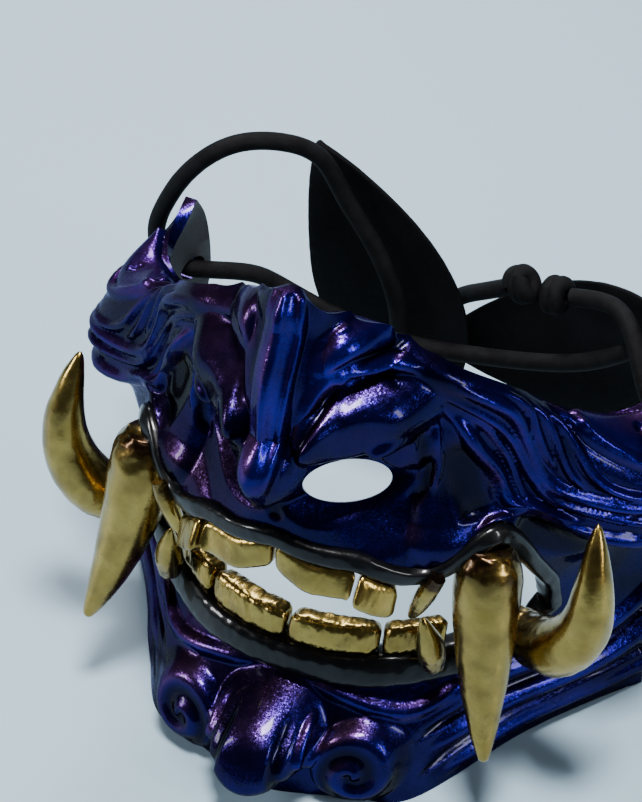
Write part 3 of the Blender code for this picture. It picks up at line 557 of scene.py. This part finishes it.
# The shell's grid: columns are a multiple of 8; rows lie above, beside and below the mouth
COLUMNS = 480
ROWS = ((104, 12, 68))
# The share of the inner wall's points that is kept, and how strongly the outer wall is spared
INNER_KEPT = 0.16
OUTER_SPARED = 1000
CUTTER_RING = 48
NOSTRIL_CUT = 40 * MM
EAR_CUT = 24 * MM
RIM_RADIUS = 1.4 * MM


def wall_sheet(mesh, points, relief_at, columns, rows, inner):
    """One wall as a grid with the mouth left out; returns its corners by column and row."""
    raised = mesh.verts.layers.float["relief"]
    made = bmesh.ops.create_grid(mesh, x_segments=columns, y_segments=sum(rows), size=1)["verts"]
    place = {v: (round((v.co.x + 1) / 2 * columns), round((1 - v.co.y) / 2 * sum(rows))) for v in made}
    gone = []
    for face in {face for vert in made for face in vert.link_faces}:
        column = min(place[vert][0] for vert in face.verts)
        row = min(place[vert][1] for vert in face.verts)
        middle = abs((column + 0.5) / columns * 2 * EAR - EAR)
        face.material_index = 1 if inner else 0
        if middle < CORNER and rows[0] <= row < rows[0] + rows[1]:
            gone.append(face)
    for vert, (column, row) in place.items():
        vert.co = points[row * (columns + 1) + column]
        vert[raised] = relief_at[row * (columns + 1) + column]
    at = {spot: vert for vert, spot in place.items()}
    bmesh.ops.delete(mesh, geom=gone, context="FACES")
    return at


def shell_mesh(columns, rows):
    """The closed shell, with both edges of the strip that joins its walls rounded."""
    station, level = (grid.ravel() for grid in grid_places(columns, rows))
    on_form = form(station, level)
    height = relief(on_form)
    outer = on_form + outward(station, level) * height[:, None]
    inner = inner_wall(station, level)
    for wall in (outer, inner):
        wall[:, 2] = np.where(level >= FOOT, 0, np.maximum(wall[:, 2], GAP))
    mesh = bmesh.new()
    mesh.verts.layers.float.new("relief")
    outer_at = wall_sheet(mesh, shifted(outer), height / WALL, columns, rows, False)
    spots = {vert: spot for spot, vert in outer_at.items() if vert.is_valid}
    rim = [tuple(spots[vert] for vert in edge.verts) for edge in mesh.edges if edge.is_boundary]
    inner_at = wall_sheet(mesh, shifted(inner), height * 0, columns, rows, True)
    strip = {mesh.faces.new((outer_at[a], outer_at[b], inner_at[b], inner_at[a])) for a, b in rim}
    bmesh.ops.recalc_face_normals(mesh, faces=mesh.faces)
    borders = [edge for face in strip for edge in face.edges
               if sum(other in strip for other in edge.link_faces) == 1]
    bmesh.ops.bevel(mesh, geom=borders, offset=RIM_RADIUS, offset_type="OFFSET", segments=3, profile=0.5,
                    affect="EDGES", clamp_overlap=True, material=-1)
    return mesh


def applied(piece):
    """Bake the piece's modifiers into its mesh."""
    graph = bpy.context.evaluated_depsgraph_get()
    data = bpy.data.meshes.new_from_object(piece.evaluated_get(graph))
    piece.modifiers.clear()
    piece.data = data


def rod(middle, axis, half, tilt, length):
    """An elliptical bar along an axis, as a cutter."""
    axis = Vector(axis).normalized()
    side = Vector((np.cos(np.radians(tilt)), 0, np.sin(np.radians(tilt))))
    side = (side - axis * side.dot(axis)).normalized()
    other = axis.cross(side)
    ends = np.array([Vector(middle) - axis * length / 2, Vector(middle) + axis * length / 2])
    two = np.ones((2, 1))
    wide, high = (two[:, 0] * size for size in half)
    bar = swept(ends, two * np.array(side), two * np.array(other), wide, high, CUTTER_RING)
    return from_mesh("cutter", bar)


def make_shell(name, materials):
    """The cast shell, with its nostrils and the cord's holes cut through."""
    mesh = shell_mesh(COLUMNS, ROWS)
    inner = [vert.index for vert in mesh.verts if all(face.material_index for face in vert.link_faces)]
    total = len(mesh.verts)
    shell = from_mesh(name, mesh)
    into_scene(shell)
    behind = shell.vertex_groups.new(name="behind")
    behind.add(inner, 1.0, "REPLACE")
    thin = shell.modifiers.new("thin", "DECIMATE")
    thin.ratio = 1 - (1 - INNER_KEPT) * len(inner) / total
    thin.vertex_group = "behind"
    thin.vertex_group_factor = OUTER_SPARED
    cutters = []
    for side in (-1, 1):
        flip = Vector((side, 1, 1))
        cutters.append(rod(flip * Vector(NOSTRIL_AT), flip * Vector(NOSTRIL_AXIS), NOSTRIL_HALF,
                           side * NOSTRIL_TILT, NOSTRIL_CUT))
        cutters.append(rod(flip * Vector(EAR_HOLE_AT), (1, 0, 0), (CORD_RADIUS + EAR_HOLE_CLEARANCE,) * 2,
                           90, EAR_CUT))
    for cutter in cutters:
        into_scene(cutter)
        cut = shell.modifiers.new("cut", "BOOLEAN")
        cut.operation, cut.solver, cut.object = "DIFFERENCE", "MANIFOLD", cutter
    applied(shell)
    for cutter in cutters:
        bpy.data.objects.remove(cutter, do_unlink=True)
    mesh = bmesh.new()
    mesh.from_mesh(shell.data)
    smoothed(mesh)
    shell.data.materials.clear()
    mesh.to_mesh(shell.data)
    mesh.free()
    shell.vertex_groups.clear()
    return settled(shell, materials, "shell", name)


LIP_RING = 48
LIP_SECTIONS = 150
LIP_EASING = 24
# Over 2 a section has flat sides and rounded corners
LIP_SQUARENESS = 3.4
LIP_RIPPLE = 0.16 * MM


def make_lip(name, table, depth, material):
    """A lip bead along the mouth's edge, rippled where it was brushed."""
    way, half = np.array(table).T
    upper = way[0] == 0
    at = np.linspace(way[0], way[-1], LIP_SECTIONS)
    at = np.concatenate([-at[:0:-1], at]) if upper else np.concatenate([at, -at[-2::-1]])
    across = np.interp(np.abs(at), way, half)
    points, inward, normal = (eased(rows, LIP_EASING) for rows in edge_frame(at, across - LIP_BITE))
    ends = np.clip((1 - np.abs(np.linspace(-1, 1, len(at))) ** 60) ** 0.5, 0.1, 1)
    wave = 1 + 0.05 * scattered(points, 9 * MM)
    mesh = swept(points, inward, normal, across * ends * wave, depth * ends * wave, LIP_RING,
                 LIP_SQUARENESS)
    displaced(mesh, LIP_RIPPLE * scattered(places_of(mesh), 2.4 * MM, 3))
    smoothed(mesh)
    return new_piece(name, mesh, [material], "lips", name)


FANG_SECTIONS = 110
FANG_RING = 56
# No fang runs this way, so its sections take their turn from it
FANG_FRONT = (0.3, -0.9, 0.3)
# How much closer the sections lie at both ends
FANG_CROWDING = 0.06
# The share of the last stretch that rounds off to the tip, and the share of the fang that is furrowed
TIP_SHARE = 0.35
ROOT_SHARE = 0.45
# Dents and furrows of a fang this thick: depth in millimetres, size and seed
DENTED_AT = 7.5 * MM
FANG_DENTS = ((0.30, 5.5 * MM, 1), (0.12, 2.2 * MM, 2))
FURROW = (0.55, 1.9 * MM, 5)
FURROW_STRETCH = (1, 1, 0.32)


def sweep_axes(points):
    """Unit vectors across each point of a fang's middle line."""
    run = unit(np.gradient(points, axis=0))
    across = unit(np.cross(run, FANG_FRONT))
    return across, np.cross(run, across)


def make_fang(name, thickest, rows, side, word, material):
    """A horn-like tooth: ringed and dented at its root, smooth and blunt at its tip."""
    scale = (side * HALF_WIDTH, DEPTH, HEIGHT, thickest)
    share = np.linspace(0, 1, FANG_SECTIONS)
    share = share - FANG_CROWDING * np.sin(2 * np.pi * share) / (2 * np.pi)
    table = curve_at(np.array(rows) * scale, share * (len(rows) - 1))
    points, radius = table[:, :3], np.maximum(table[:, 3], 0)
    last = rows[-1][3] * thickest
    tip = np.clip((1 - share) * (len(rows) - 1) / TIP_SHARE, 0, 1)
    radius = np.maximum(radius, last) * np.sqrt(np.clip(1 - (1 - tip) ** 2, 0.004, 1))
    across, depth = sweep_axes(points)
    mesh = swept(points, across, depth, radius, radius, FANG_RING, 2.0, share)
    layer = mesh.verts.layers.float["along"]
    places = places_of(mesh)
    root = np.clip(1 - np.array([vert[layer] for vert in mesh.verts]) / ROOT_SHARE, 0, 1)
    scaled = thickest / DENTED_AT
    dents = sum(deep * scattered(places, size * scaled, seed) for deep, size, seed in FANG_DENTS)
    deep, size, seed = FURROW
    furrows = np.abs(scattered(places * FURROW_STRETCH, size * scaled, seed))
    displaced(mesh, scaled * MM * (dents * (0.5 + root) - deep * furrows * root))
    smoothed(mesh, 80)
    return new_piece(f"{name}_{word}", mesh, [material], "gold", f"{name}_{word}")


TEETH_SECTIONS = 96
TEETH_RING = 56
TEETH_EASING = 30
# How rough the smooth upper blocks and the worn lower ones are
TEETH_ROUGH = {True: 0.12 * MM, False: 0.30 * MM}


def make_teeth(name, start, end, distance, half_height, half_depth, side, word, material):
    """A block of worn teeth, rough all over, with its ends drawn in."""
    station = np.linspace(start, end, TEETH_SECTIONS)
    upper = name.startswith("upper")
    way = station / CORNER if upper else 3 - station / CORNER
    points, inward, normal = (
        eased(rows, TEETH_EASING) for rows in edge_frame(way, np.zeros(len(way))))
    inward = unit(inward * [0, 1, 1])
    points = points + inward * distance
    share = np.linspace(-1, 1, TEETH_SECTIONS)
    ends = np.clip((1 - np.abs(share) ** 8) ** 0.25, 0.45, 1)
    flip = [side, 1, 1]
    mesh = swept(points * flip, inward * flip, normal * flip, half_height * ends,
                 half_depth * ends, TEETH_RING, 4.0)
    places = places_of(mesh)
    rough = TEETH_ROUGH[upper]
    displaced(mesh, rough * scattered(places, 2.6 * MM, 7) + 0.5 * rough * scattered(places, 1.0 * MM, 8))
    smoothed(mesh, 80)
    return new_piece(f"{name}_{word}", mesh, [material], "gold", f"{name}_{word}")


PAD_SECTIONS = 90
PAD_RING = 60
PAD_WAVE = 0.10 * MM
PAD_SQUARENESS = 5.0


def make_pad(name, places, half_width, across, material):
    """A leaf of leather with a rolled edge, pointed at both ends, with a little waviness from use."""
    behind = [0, CORD_RADIUS + GAP + PAD_THICK / 2, 0]
    share = np.linspace(0, 1, PAD_SECTIONS)
    line = curve_at(np.array(places) * MM + behind, share * (len(places) - 1))
    half = half_width * MM * np.maximum(np.sin(np.pi * share) ** 0.8, 0.03)
    run = unit(np.gradient(line, axis=0))
    wide = unit(np.array(across) - run * (run @ np.array(across))[:, None])
    mesh = swept(line, wide, np.cross(run, wide), half, np.full(PAD_SECTIONS, PAD_THICK / 2), PAD_RING,
                 PAD_SQUARENESS)
    displaced(mesh, PAD_WAVE * scattered(places_of(mesh), 3.0 * MM, 4))
    smoothed(mesh, 60)
    return new_piece(name, mesh, [material], "leather", name)


def cord_curve(name, points, material, resolution=8):
    """A round cord through the points, as one open curve."""
    data = bpy.data.curves.new(name, "CURVE")
    data.dimensions = "3D"
    data.bevel_depth = CORD_RADIUS
    data.bevel_resolution = resolution
    data.use_fill_caps = True
    spline = data.splines.new("POLY")
    spline.points.add(len(points) - 1)
    for point, place in zip(spline.points, points):
        point.co = (*place, 1)
    spline.use_smooth = True
    data.materials.append(material)
    return bpy.data.objects.new(name, data)


# The cord's turns in each lump of the knot, their length along it and the radius they are wound to
KNOT_TURNS = 2.1
KNOT_LENGTH = 5.0 * MM
KNOT_WIND = 3.2 * MM
KNOT_POINTS = 100


def make_knot(name, end, before, material):
    """A lump of the knot: the cord wound on itself, just past the cord's end."""
    run = (Vector(end) - Vector(before)).normalized()
    middle = Vector(end) + run * (KNOT * CORD_RADIUS + GAP)
    side = run.cross(Vector((0, 0.3, 1))).normalized()
    up = side.cross(run)
    turns = np.linspace(0, 1, KNOT_POINTS)
    angle = 2 * np.pi * KNOT_TURNS * turns
    points = [
        shifted(middle + run * (KNOT_LENGTH * (share - 0.5))
                + (side * np.cos(a) * 0.8 + up * np.sin(a)) * KNOT_WIND)
        for share, a in zip(turns, angle)
    ]
    made = cord_curve(name, points, material, 6)
    mesh = bmesh.new()
    graph = bpy.context.evaluated_depsgraph_get()
    into_scene(made)
    data = bpy.data.meshes.new_from_object(made.evaluated_get(graph))
    bpy.data.objects.remove(made, do_unlink=True)
    mesh.from_mesh(data)
    bmesh.ops.remove_doubles(mesh, verts=mesh.verts, dist=1e-6)
    bmesh.ops.recalc_face_normals(mesh, faces=mesh.faces)
    smoothed(mesh)
    return new_piece(name, mesh, [material], "cord", name)


# ---- Shader helpers ----


def linked(tree, kind, inputs=(), **settings):
    """A shader node with its settings and inputs; an input is a value, or an output to link."""
    made = tree.nodes.new(kind)
    for key, value in settings.items():
        setattr(made, key, value)
    for key, value in dict(inputs).items():
        if isinstance(value, bpy.types.NodeSocket):
            tree.links.new(value, made.inputs[key])
        else:
            made.inputs[key].default_value = value
    return made


def group(name, sockets_in, sockets_out):
    """An empty shader node group, with its input and output nodes."""
    tree = bpy.data.node_groups.new(name, "ShaderNodeTree")
    for key, (kind, value) in sockets_in.items():
        socket = tree.interface.new_socket(key, in_out="INPUT", socket_type=kind)
        socket.default_value = value
    for key, kind in sockets_out.items():
        tree.interface.new_socket(key, in_out="OUTPUT", socket_type=kind)
    return tree, tree.nodes.new("NodeGroupInput").outputs, tree.nodes.new("NodeGroupOutput").inputs


def math(tree, operation, *values):
    return linked(tree, "ShaderNodeMath", enumerate(values), operation=operation).outputs[0]


def ramp(tree, value, low, high):
    """The value, spread from 0 at low to 1 at high."""
    made = linked(tree, "ShaderNodeMapRange", {0: value, 1: low, 2: high}, interpolation_type="SMOOTHSTEP")
    return made.outputs[0]


def blend(tree, mask, first, second):
    made = linked(tree, "ShaderNodeMix", {0: mask}, data_type="RGBA")
    for slot, colour in ((6, first), (7, second)):
        if isinstance(colour, bpy.types.NodeSocket):
            tree.links.new(colour, made.inputs[slot])
        else:
            made.inputs[slot].default_value = (*colour, 1)
    return made.outputs[2]


FLOAT, VECTOR = "NodeSocketFloat", "NodeSocketVector"


def make_groups():
    """The effects that several finishes share."""
    sockets = {"Scale": (FLOAT, 40.0), "Low": (FLOAT, 0.4), "High": (FLOAT, 0.6)}
    tree, takes, gives = group("mottle", sockets, {"Mask": FLOAT})
    where = tree.nodes.new("ShaderNodeTexCoord").outputs["Object"]
    cloud = linked(tree, "ShaderNodeTexNoise", {"Vector": where, "Scale": takes["Scale"], "Detail": 4.0})
    spread = linked(tree, "ShaderNodeMapRange", {0: cloud.outputs[0], 1: takes["Low"], 2: takes["High"]})
    tree.links.new(spread.outputs[0], gives["Mask"])

    tree, takes, gives = group("flake", {"Scale": (FLOAT, 2600.0), "Tilt": (FLOAT, 0.2)},
                               {"Normal": VECTOR})
    where = tree.nodes.new("ShaderNodeTexCoord").outputs["Object"]
    cell = linked(tree, "ShaderNodeTexVoronoi", {"Vector": where, "Scale": takes["Scale"]})
    centred = linked(tree, "ShaderNodeVectorMath", {0: cell.outputs["Color"], 1: (0.5, 0.5, 0.5)},
                     operation="SUBTRACT").outputs[0]
    tilted = linked(tree, "ShaderNodeVectorMath", {0: centred}, operation="SCALE")
    tree.links.new(takes["Tilt"], tilted.inputs["Scale"])
    facing = tree.nodes.new("ShaderNodeNewGeometry").outputs["Normal"]
    summed = linked(tree, "ShaderNodeVectorMath", {0: facing, 1: tilted.outputs[0]},
                    operation="ADD").outputs[0]
    unit = linked(tree, "ShaderNodeVectorMath", {0: summed}, operation="NORMALIZE").outputs[0]
    tree.links.new(unit, gives["Normal"])

    sockets = {"Axis": (VECTOR, (0, 0, 1)), "Low": (FLOAT, 0.0), "High": (FLOAT, 1.0)}
    tree, takes, gives = group("turned", sockets, {"Mask": FLOAT})
    facing = tree.nodes.new("ShaderNodeNewGeometry").outputs["Normal"]
    turn = linked(tree, "ShaderNodeVectorMath", {0: facing, 1: takes["Axis"]}, operation="DOT_PRODUCT")
    spread = linked(tree, "ShaderNodeMapRange",
                    {0: turn.outputs["Value"], 1: takes["Low"], 2: takes["High"]},
                    interpolation_type="SMOOTHSTEP")
    tree.links.new(spread.outputs[0], gives["Mask"])

    tree, takes, gives = group("pitting", {"Scale": (FLOAT, 600.0), "Fine": (FLOAT, 0.5)},
                               {"Height": FLOAT})
    where = tree.nodes.new("ShaderNodeTexCoord").outputs["Object"]
    coarse = linked(tree, "ShaderNodeTexNoise", {"Vector": where, "Scale": takes["Scale"], "Detail": 3.0})
    many = math(tree, "MULTIPLY", takes["Scale"], 3.7)
    fine = linked(tree, "ShaderNodeTexVoronoi", {"Vector": where, "Scale": many})
    small = math(tree, "MULTIPLY", fine.outputs["Distance"], takes["Fine"])
    tree.links.new(math(tree, "ADD", coarse.outputs[0], small), gives["Height"])


def placed(tree, name, **values):
    """A shared effect placed in a material, with that material's own values."""
    made = tree.nodes.new("ShaderNodeGroup")
    made.node_tree = bpy.data.node_groups[name]
    for key, value in values.items():
        made.inputs[key].default_value = value
    return made.outputs


def mottled(tree, first, second, **values):
    """Two colours in soft patches, of the given scale and spread."""
    return blend(tree, placed(tree, "mottle", **values)["Mask"], first, second)


def finish(name, **values):
    """A material with constants set on its own shader; returns the material, its tree and its shader."""
    made = bpy.data.materials.new(name)
    made.use_nodes = True
    tree = made.node_tree
    shader = tree.nodes["Principled BSDF"]
    for key, value in values.items():
        socket = shader.inputs[key.replace("_", " ").title().replace("Ior", "IOR")]
        socket.default_value = (*value, 1) if isinstance(value, tuple) else value
    return made, tree, shader


def surfaced(tree, shader, grain, spread, roughness, strength, distance, normal=None):
    """Let the grain set the shader's roughness, from its low to its high value, and bump the surface."""
    steps = {0: grain, 1: spread[0], 2: spread[1], 3: roughness[0], 4: roughness[1]}
    rough = linked(tree, "ShaderNodeMapRange", steps).outputs[0]
    tree.links.new(rough, shader.inputs["Roughness"])
    inputs = {"Height": grain, "Strength": strength, "Distance": distance}
    if normal is not None:
        inputs["Normal"] = normal
    tree.links.new(linked(tree, "ShaderNodeBump", inputs).outputs[0], shader.inputs["Normal"])


def attribute(tree, name):
    return linked(tree, "ShaderNodeAttribute", attribute_name=name).outputs["Fac"]


def shift_paint():
    """Blue and violet metallic paint, with painted light: violet on faces turned up-left and down, a
    painted highlight on ridges and painted shade in cuts.
    """
    made, tree, shader = finish("shift_paint", metallic=0.92, specular_tint=(0.06, 0.05, 0.35),
                                coat_weight=0.14, coat_roughness=0.09, coat_ior=1.5)
    flake = placed(tree, "flake", Scale=3000.0, Tilt=0.16)
    blue = mottled(tree, (0.0024, 0.0011, 0.033), (0.0092, 0.0046, 0.118), Scale=55.0, Low=0.35, High=0.65)
    violet = mottled(tree, (0.024, 0.0080, 0.044), (0.085, 0.034, 0.100), Scale=90.0, Low=0.3, High=0.7)
    # Painted light: faces turned up and left, and faces turned down, are painted violet and lighter. This
    # stands in for how the colour-shift paint changes under the lamps; the soft patches are the paint's
    # own.
    left = placed(tree, "turned", Axis=(-0.80, 0.10, 0.58), Low=0.0, High=0.70)["Mask"]
    foot = placed(tree, "turned", Axis=(0.25, -0.25, -0.9), Low=0.1, High=0.9)["Mask"]
    turned = math(tree, "MAXIMUM", left, math(tree, "MULTIPLY", foot, 0.9))
    patch = placed(tree, "mottle", Scale=24.0, Low=0.38, High=0.62)["Mask"]
    mask = math(tree, "MULTIPLY", turned, math(tree, "ADD", math(tree, "MULTIPLY", patch, 0.5), 0.5))
    colour = blend(tree, mask, blue, violet)
    height = attribute(tree, "relief")
    # Painted highlight: ridge tops, read from the relief, are lightened toward pale lavender.
    ridge = ramp(tree, height, 0.25, 0.75)
    highlight_lift = {0: math(tree, "MULTIPLY", ridge, 0.5), 6: colour, 7: (0.60, 0.55, 0.75, 1)}
    painted_highlight = linked(tree, "ShaderNodeMix", highlight_lift, data_type="RGBA", blend_type="DODGE").outputs[2]
    # Painted shade: the colour darkens toward near black where the relief is low, about half way on the
    # plain surface and fully in the cuts.
    deep = ramp(tree, height, 0.30, -0.28)
    colour = blend(tree, math(tree, "MULTIPLY", deep, 0.92), painted_highlight, (0.0015, 0.0015, 0.007))
    tree.links.new(colour, shader.inputs["Base Color"])
    grain = placed(tree, "pitting", Scale=420.0, Fine=0.25)["Height"]
    surfaced(tree, shader, grain, (0.3, 0.9), (0.17, 0.31), 0.25, 0.0003, flake["Normal"])
    return made


def lip_lacquer():
    """Thick black lacquer with brush ripples and a little dust on what faces up."""
    made, tree, shader = finish("lip_lacquer", specular_ior_level=0.12, coat_weight=0.35,
                                coat_roughness=0.09)
    dust = placed(tree, "mottle", Scale=700.0, Low=0.62, High=0.75)["Mask"]
    up = placed(tree, "turned", Axis=(0.0, 0.0, 1.0), Low=0.4, High=1.0)["Mask"]
    colour = blend(tree, math(tree, "MULTIPLY", dust, math(tree, "MULTIPLY", up, 0.25)),
                   (0.0012, 0.0012, 0.0018), (0.05, 0.05, 0.065))
    tree.links.new(colour, shader.inputs["Base Color"])
    grain = placed(tree, "pitting", Scale=300.0, Fine=0.15)["Height"]
    surfaced(tree, shader, grain, (0.3, 0.9), (0.26, 0.46), 0.35, 0.0004)
    return made


def lining():
    """Satin black spray behind the mask."""
    made, tree, shader = finish("lining", roughness=0.5)
    grain = placed(tree, "pitting", Scale=900.0, Fine=0.5)["Height"]
    colour = mottled(tree, (0.004, 0.004, 0.005), (0.010, 0.009, 0.013), Scale=30.0, Low=0.3, High=0.7)
    tree.links.new(colour, shader.inputs["Base Color"])
    surfaced(tree, shader, grain, (0.2, 1.0), (0.42, 0.62), 0.4, 0.0003)
    return made


def old_gold(name, root_from, root_to):
    """Rubbed gold over brown: dark where along is near the root, and in pits."""
    made, tree, shader = finish(name, metallic=1.0, coat_weight=0.25, coat_roughness=0.2)
    gold = mottled(tree, (0.27, 0.175, 0.034), (0.39, 0.275, 0.070), Scale=130.0, Low=0.3, High=0.7)
    stain = placed(tree, "mottle", Scale=120.0, Low=0.46, High=0.66)["Mask"]
    fine = placed(tree, "mottle", Scale=900.0, Low=0.50, High=0.62)["Mask"]
    root = ramp(tree, attribute(tree, "along"), root_from, root_to)
    worn = math(tree, "MAXIMUM", math(tree, "MULTIPLY", stain, 0.38), math(tree, "MULTIPLY", fine, 0.08))
    mask = math(tree, "MAXIMUM", worn, math(tree, "MULTIPLY", root, math(tree, "ADD", stain, 0.55)))
    mask = math(tree, "MINIMUM", mask, 1.0)
    colour = blend(tree, mask, gold, (0.040, 0.019, 0.006))
    tree.links.new(colour, shader.inputs["Base Color"])
    grain = placed(tree, "pitting", Scale=260.0, Fine=0.15)["Height"]
    surfaced(tree, shader, grain, (0.3, 1.0), (0.20, 0.34), 0.22, 0.0004)
    return made


def black_hide():
    """Black leather: pebbled grain, hardly any gloss, and greyer rubbed patches."""
    made, tree, shader = finish("black_hide", specular_ior_level=0.06)
    colour = mottled(tree, (0.0008, 0.0008, 0.0012), (0.0024, 0.0024, 0.0034),
                     Scale=60.0, Low=0.3, High=0.7)
    tree.links.new(colour, shader.inputs["Base Color"])
    grain = placed(tree, "pitting", Scale=850.0, Fine=0.9)["Height"]
    surfaced(tree, shader, grain, (0.3, 1.2), (0.48, 0.75), 0.6, 0.0004)
    return made


def waxed_cord():
    """Round black cord: a fine grain all over it, with a dull wax."""
    made, tree, shader = finish("waxed_cord", specular_ior_level=0.07)
    colour = mottled(tree, (0.0012, 0.0012, 0.0016), (0.0038, 0.0038, 0.0048),
                     Scale=300.0, Low=0.3, High=0.7)
    tree.links.new(colour, shader.inputs["Base Color"])
    grain = placed(tree, "pitting", Scale=1500.0, Fine=0.8)["Height"]
    surfaced(tree, shader, grain, (0.3, 1.2), (0.46, 0.70), 0.5, 0.0003)
    return made


def pale_floor():
    made, tree, shader = finish("pale_floor", roughness=0.55)
    colour = mottled(tree, (0.225, 0.32, 0.395), (0.24, 0.34, 0.415), Scale=3.0, Low=0.3, High=0.7)
    tree.links.new(colour, shader.inputs["Base Color"])
    return made


# ---- Camera, light and floor ----
CAMERA_TARGET = (0, -10.76 * MM, 111.93 * MM)
CAMERA_DISTANCE = 717.95 * MM
CAMERA_AZIMUTH = 25.4
CAMERA_ELEVATION = 44.0
CAMERA_LENS = 125.69
SENSOR_HEIGHT = 36


def turned_to(place, target):
    """The turn of a camera or lamp at place that looks at target."""
    return (Vector(place) - Vector(target)).to_track_quat("Z", "Y").to_euler()


def make_camera():
    azimuth, elevation = np.radians(CAMERA_AZIMUTH), np.radians(CAMERA_ELEVATION)
    back = (np.sin(azimuth) * np.cos(elevation), -np.cos(azimuth) * np.cos(elevation), np.sin(elevation))
    place = np.array(CAMERA_TARGET) + CAMERA_DISTANCE * np.array(back)
    data = bpy.data.cameras.new("camera")
    data.lens, data.sensor_fit, data.sensor_height = CAMERA_LENS, "VERTICAL", SENSOR_HEIGHT
    data.clip_start = 0.01
    made = bpy.data.objects.new("camera", data)
    made.location, made.rotation_euler = place, turned_to(place, CAMERA_TARGET)
    into_scene(made)
    bpy.context.scene.camera = made


# Lamps: name, place, size across and up, power, colour
LAMPS = (
    ("key", (0.10, -0.10, 1.30), (0.30, 0.22), 42, (1.0, 0.99, 0.98)),
    ("back", (-0.55, 0.95, 0.85), (0.50, 0.25), 16, (0.95, 0.97, 1.0)),
    ("right", (1.05, -0.20, 0.55), (0.12, 0.50), 6, (0.96, 0.98, 1.0)),
    ("left", (-0.95, -0.55, 0.60), (0.16, 0.45), 10, (0.96, 0.98, 1.0)),
)
LAMP_TARGET = (0, 0, 0.08)
WORLD = (0.60, 0.68, 0.76)
WORLD_STRENGTH = 0.09


def make_light():
    for name, place, (wide, high), power, colour in LAMPS:
        data = bpy.data.lights.new(name, "AREA")
        data.shape, data.size, data.size_y = "RECTANGLE", wide, high
        data.energy, data.color = power, colour
        lamp = bpy.data.objects.new(name, data)
        lamp.location, lamp.rotation_euler = place, turned_to(place, LAMP_TARGET)
        into_scene(lamp)
    world = bpy.data.worlds.new("studio")
    world.use_nodes = True
    sky = world.node_tree.nodes["Background"]
    sky.inputs["Color"].default_value = (*WORLD, 1)
    sky.inputs["Strength"].default_value = WORLD_STRENGTH
    bpy.context.scene.world = world


FLOOR_HALF = 12.0


def make_floor():
    mesh = bmesh.new()
    bmesh.ops.create_grid(mesh, x_segments=8, y_segments=8, size=FLOOR_HALF)
    floor = from_mesh("floor", mesh)
    floor.data.materials.append(pale_floor())
    into_scene(floor)


# ---- The whole mask ----
ROUTE_POINTS = 300

make_groups()
make_camera()

rope = waxed_cord()
knots = [
    make_knot("knot_left", CORD_ROUTE[0], CORD_ROUTE[1], rope),
    make_knot("knot_right", CORD_ROUTE[-1], CORD_ROUTE[-2], rope),
]
route = shifted(curve_at(np.array(CORD_ROUTE), np.linspace(0, len(CORD_ROUTE) - 1, ROUTE_POINTS)))
cord = settled(cord_curve("harness_cord", route, rope), [], "cord", "harness_cord")

make_shell("mask_shell", [shift_paint(), lining()])
black = lip_lacquer()
make_lip("upper_lip", UPPER_LIP, UPPER_LIP_DEPTH, black)
make_lip("lower_lip", LOWER_LIP, LOWER_LIP_DEPTH, black)
horn, block = old_gold("horn_gold", 0.42, 0.02), old_gold("tooth_gold", -0.2, -0.4)
for side, word in ((1, "left"), (-1, "right")):
    for name, thickest, rows in FANGS:
        make_fang(name, thickest, rows, side, word, horn)
    for row in TEETH:
        make_teeth(*row, side, word, block)
hide = black_hide()
for row in PADS:
    make_pad(*row, hide)

make_light()
make_floor()
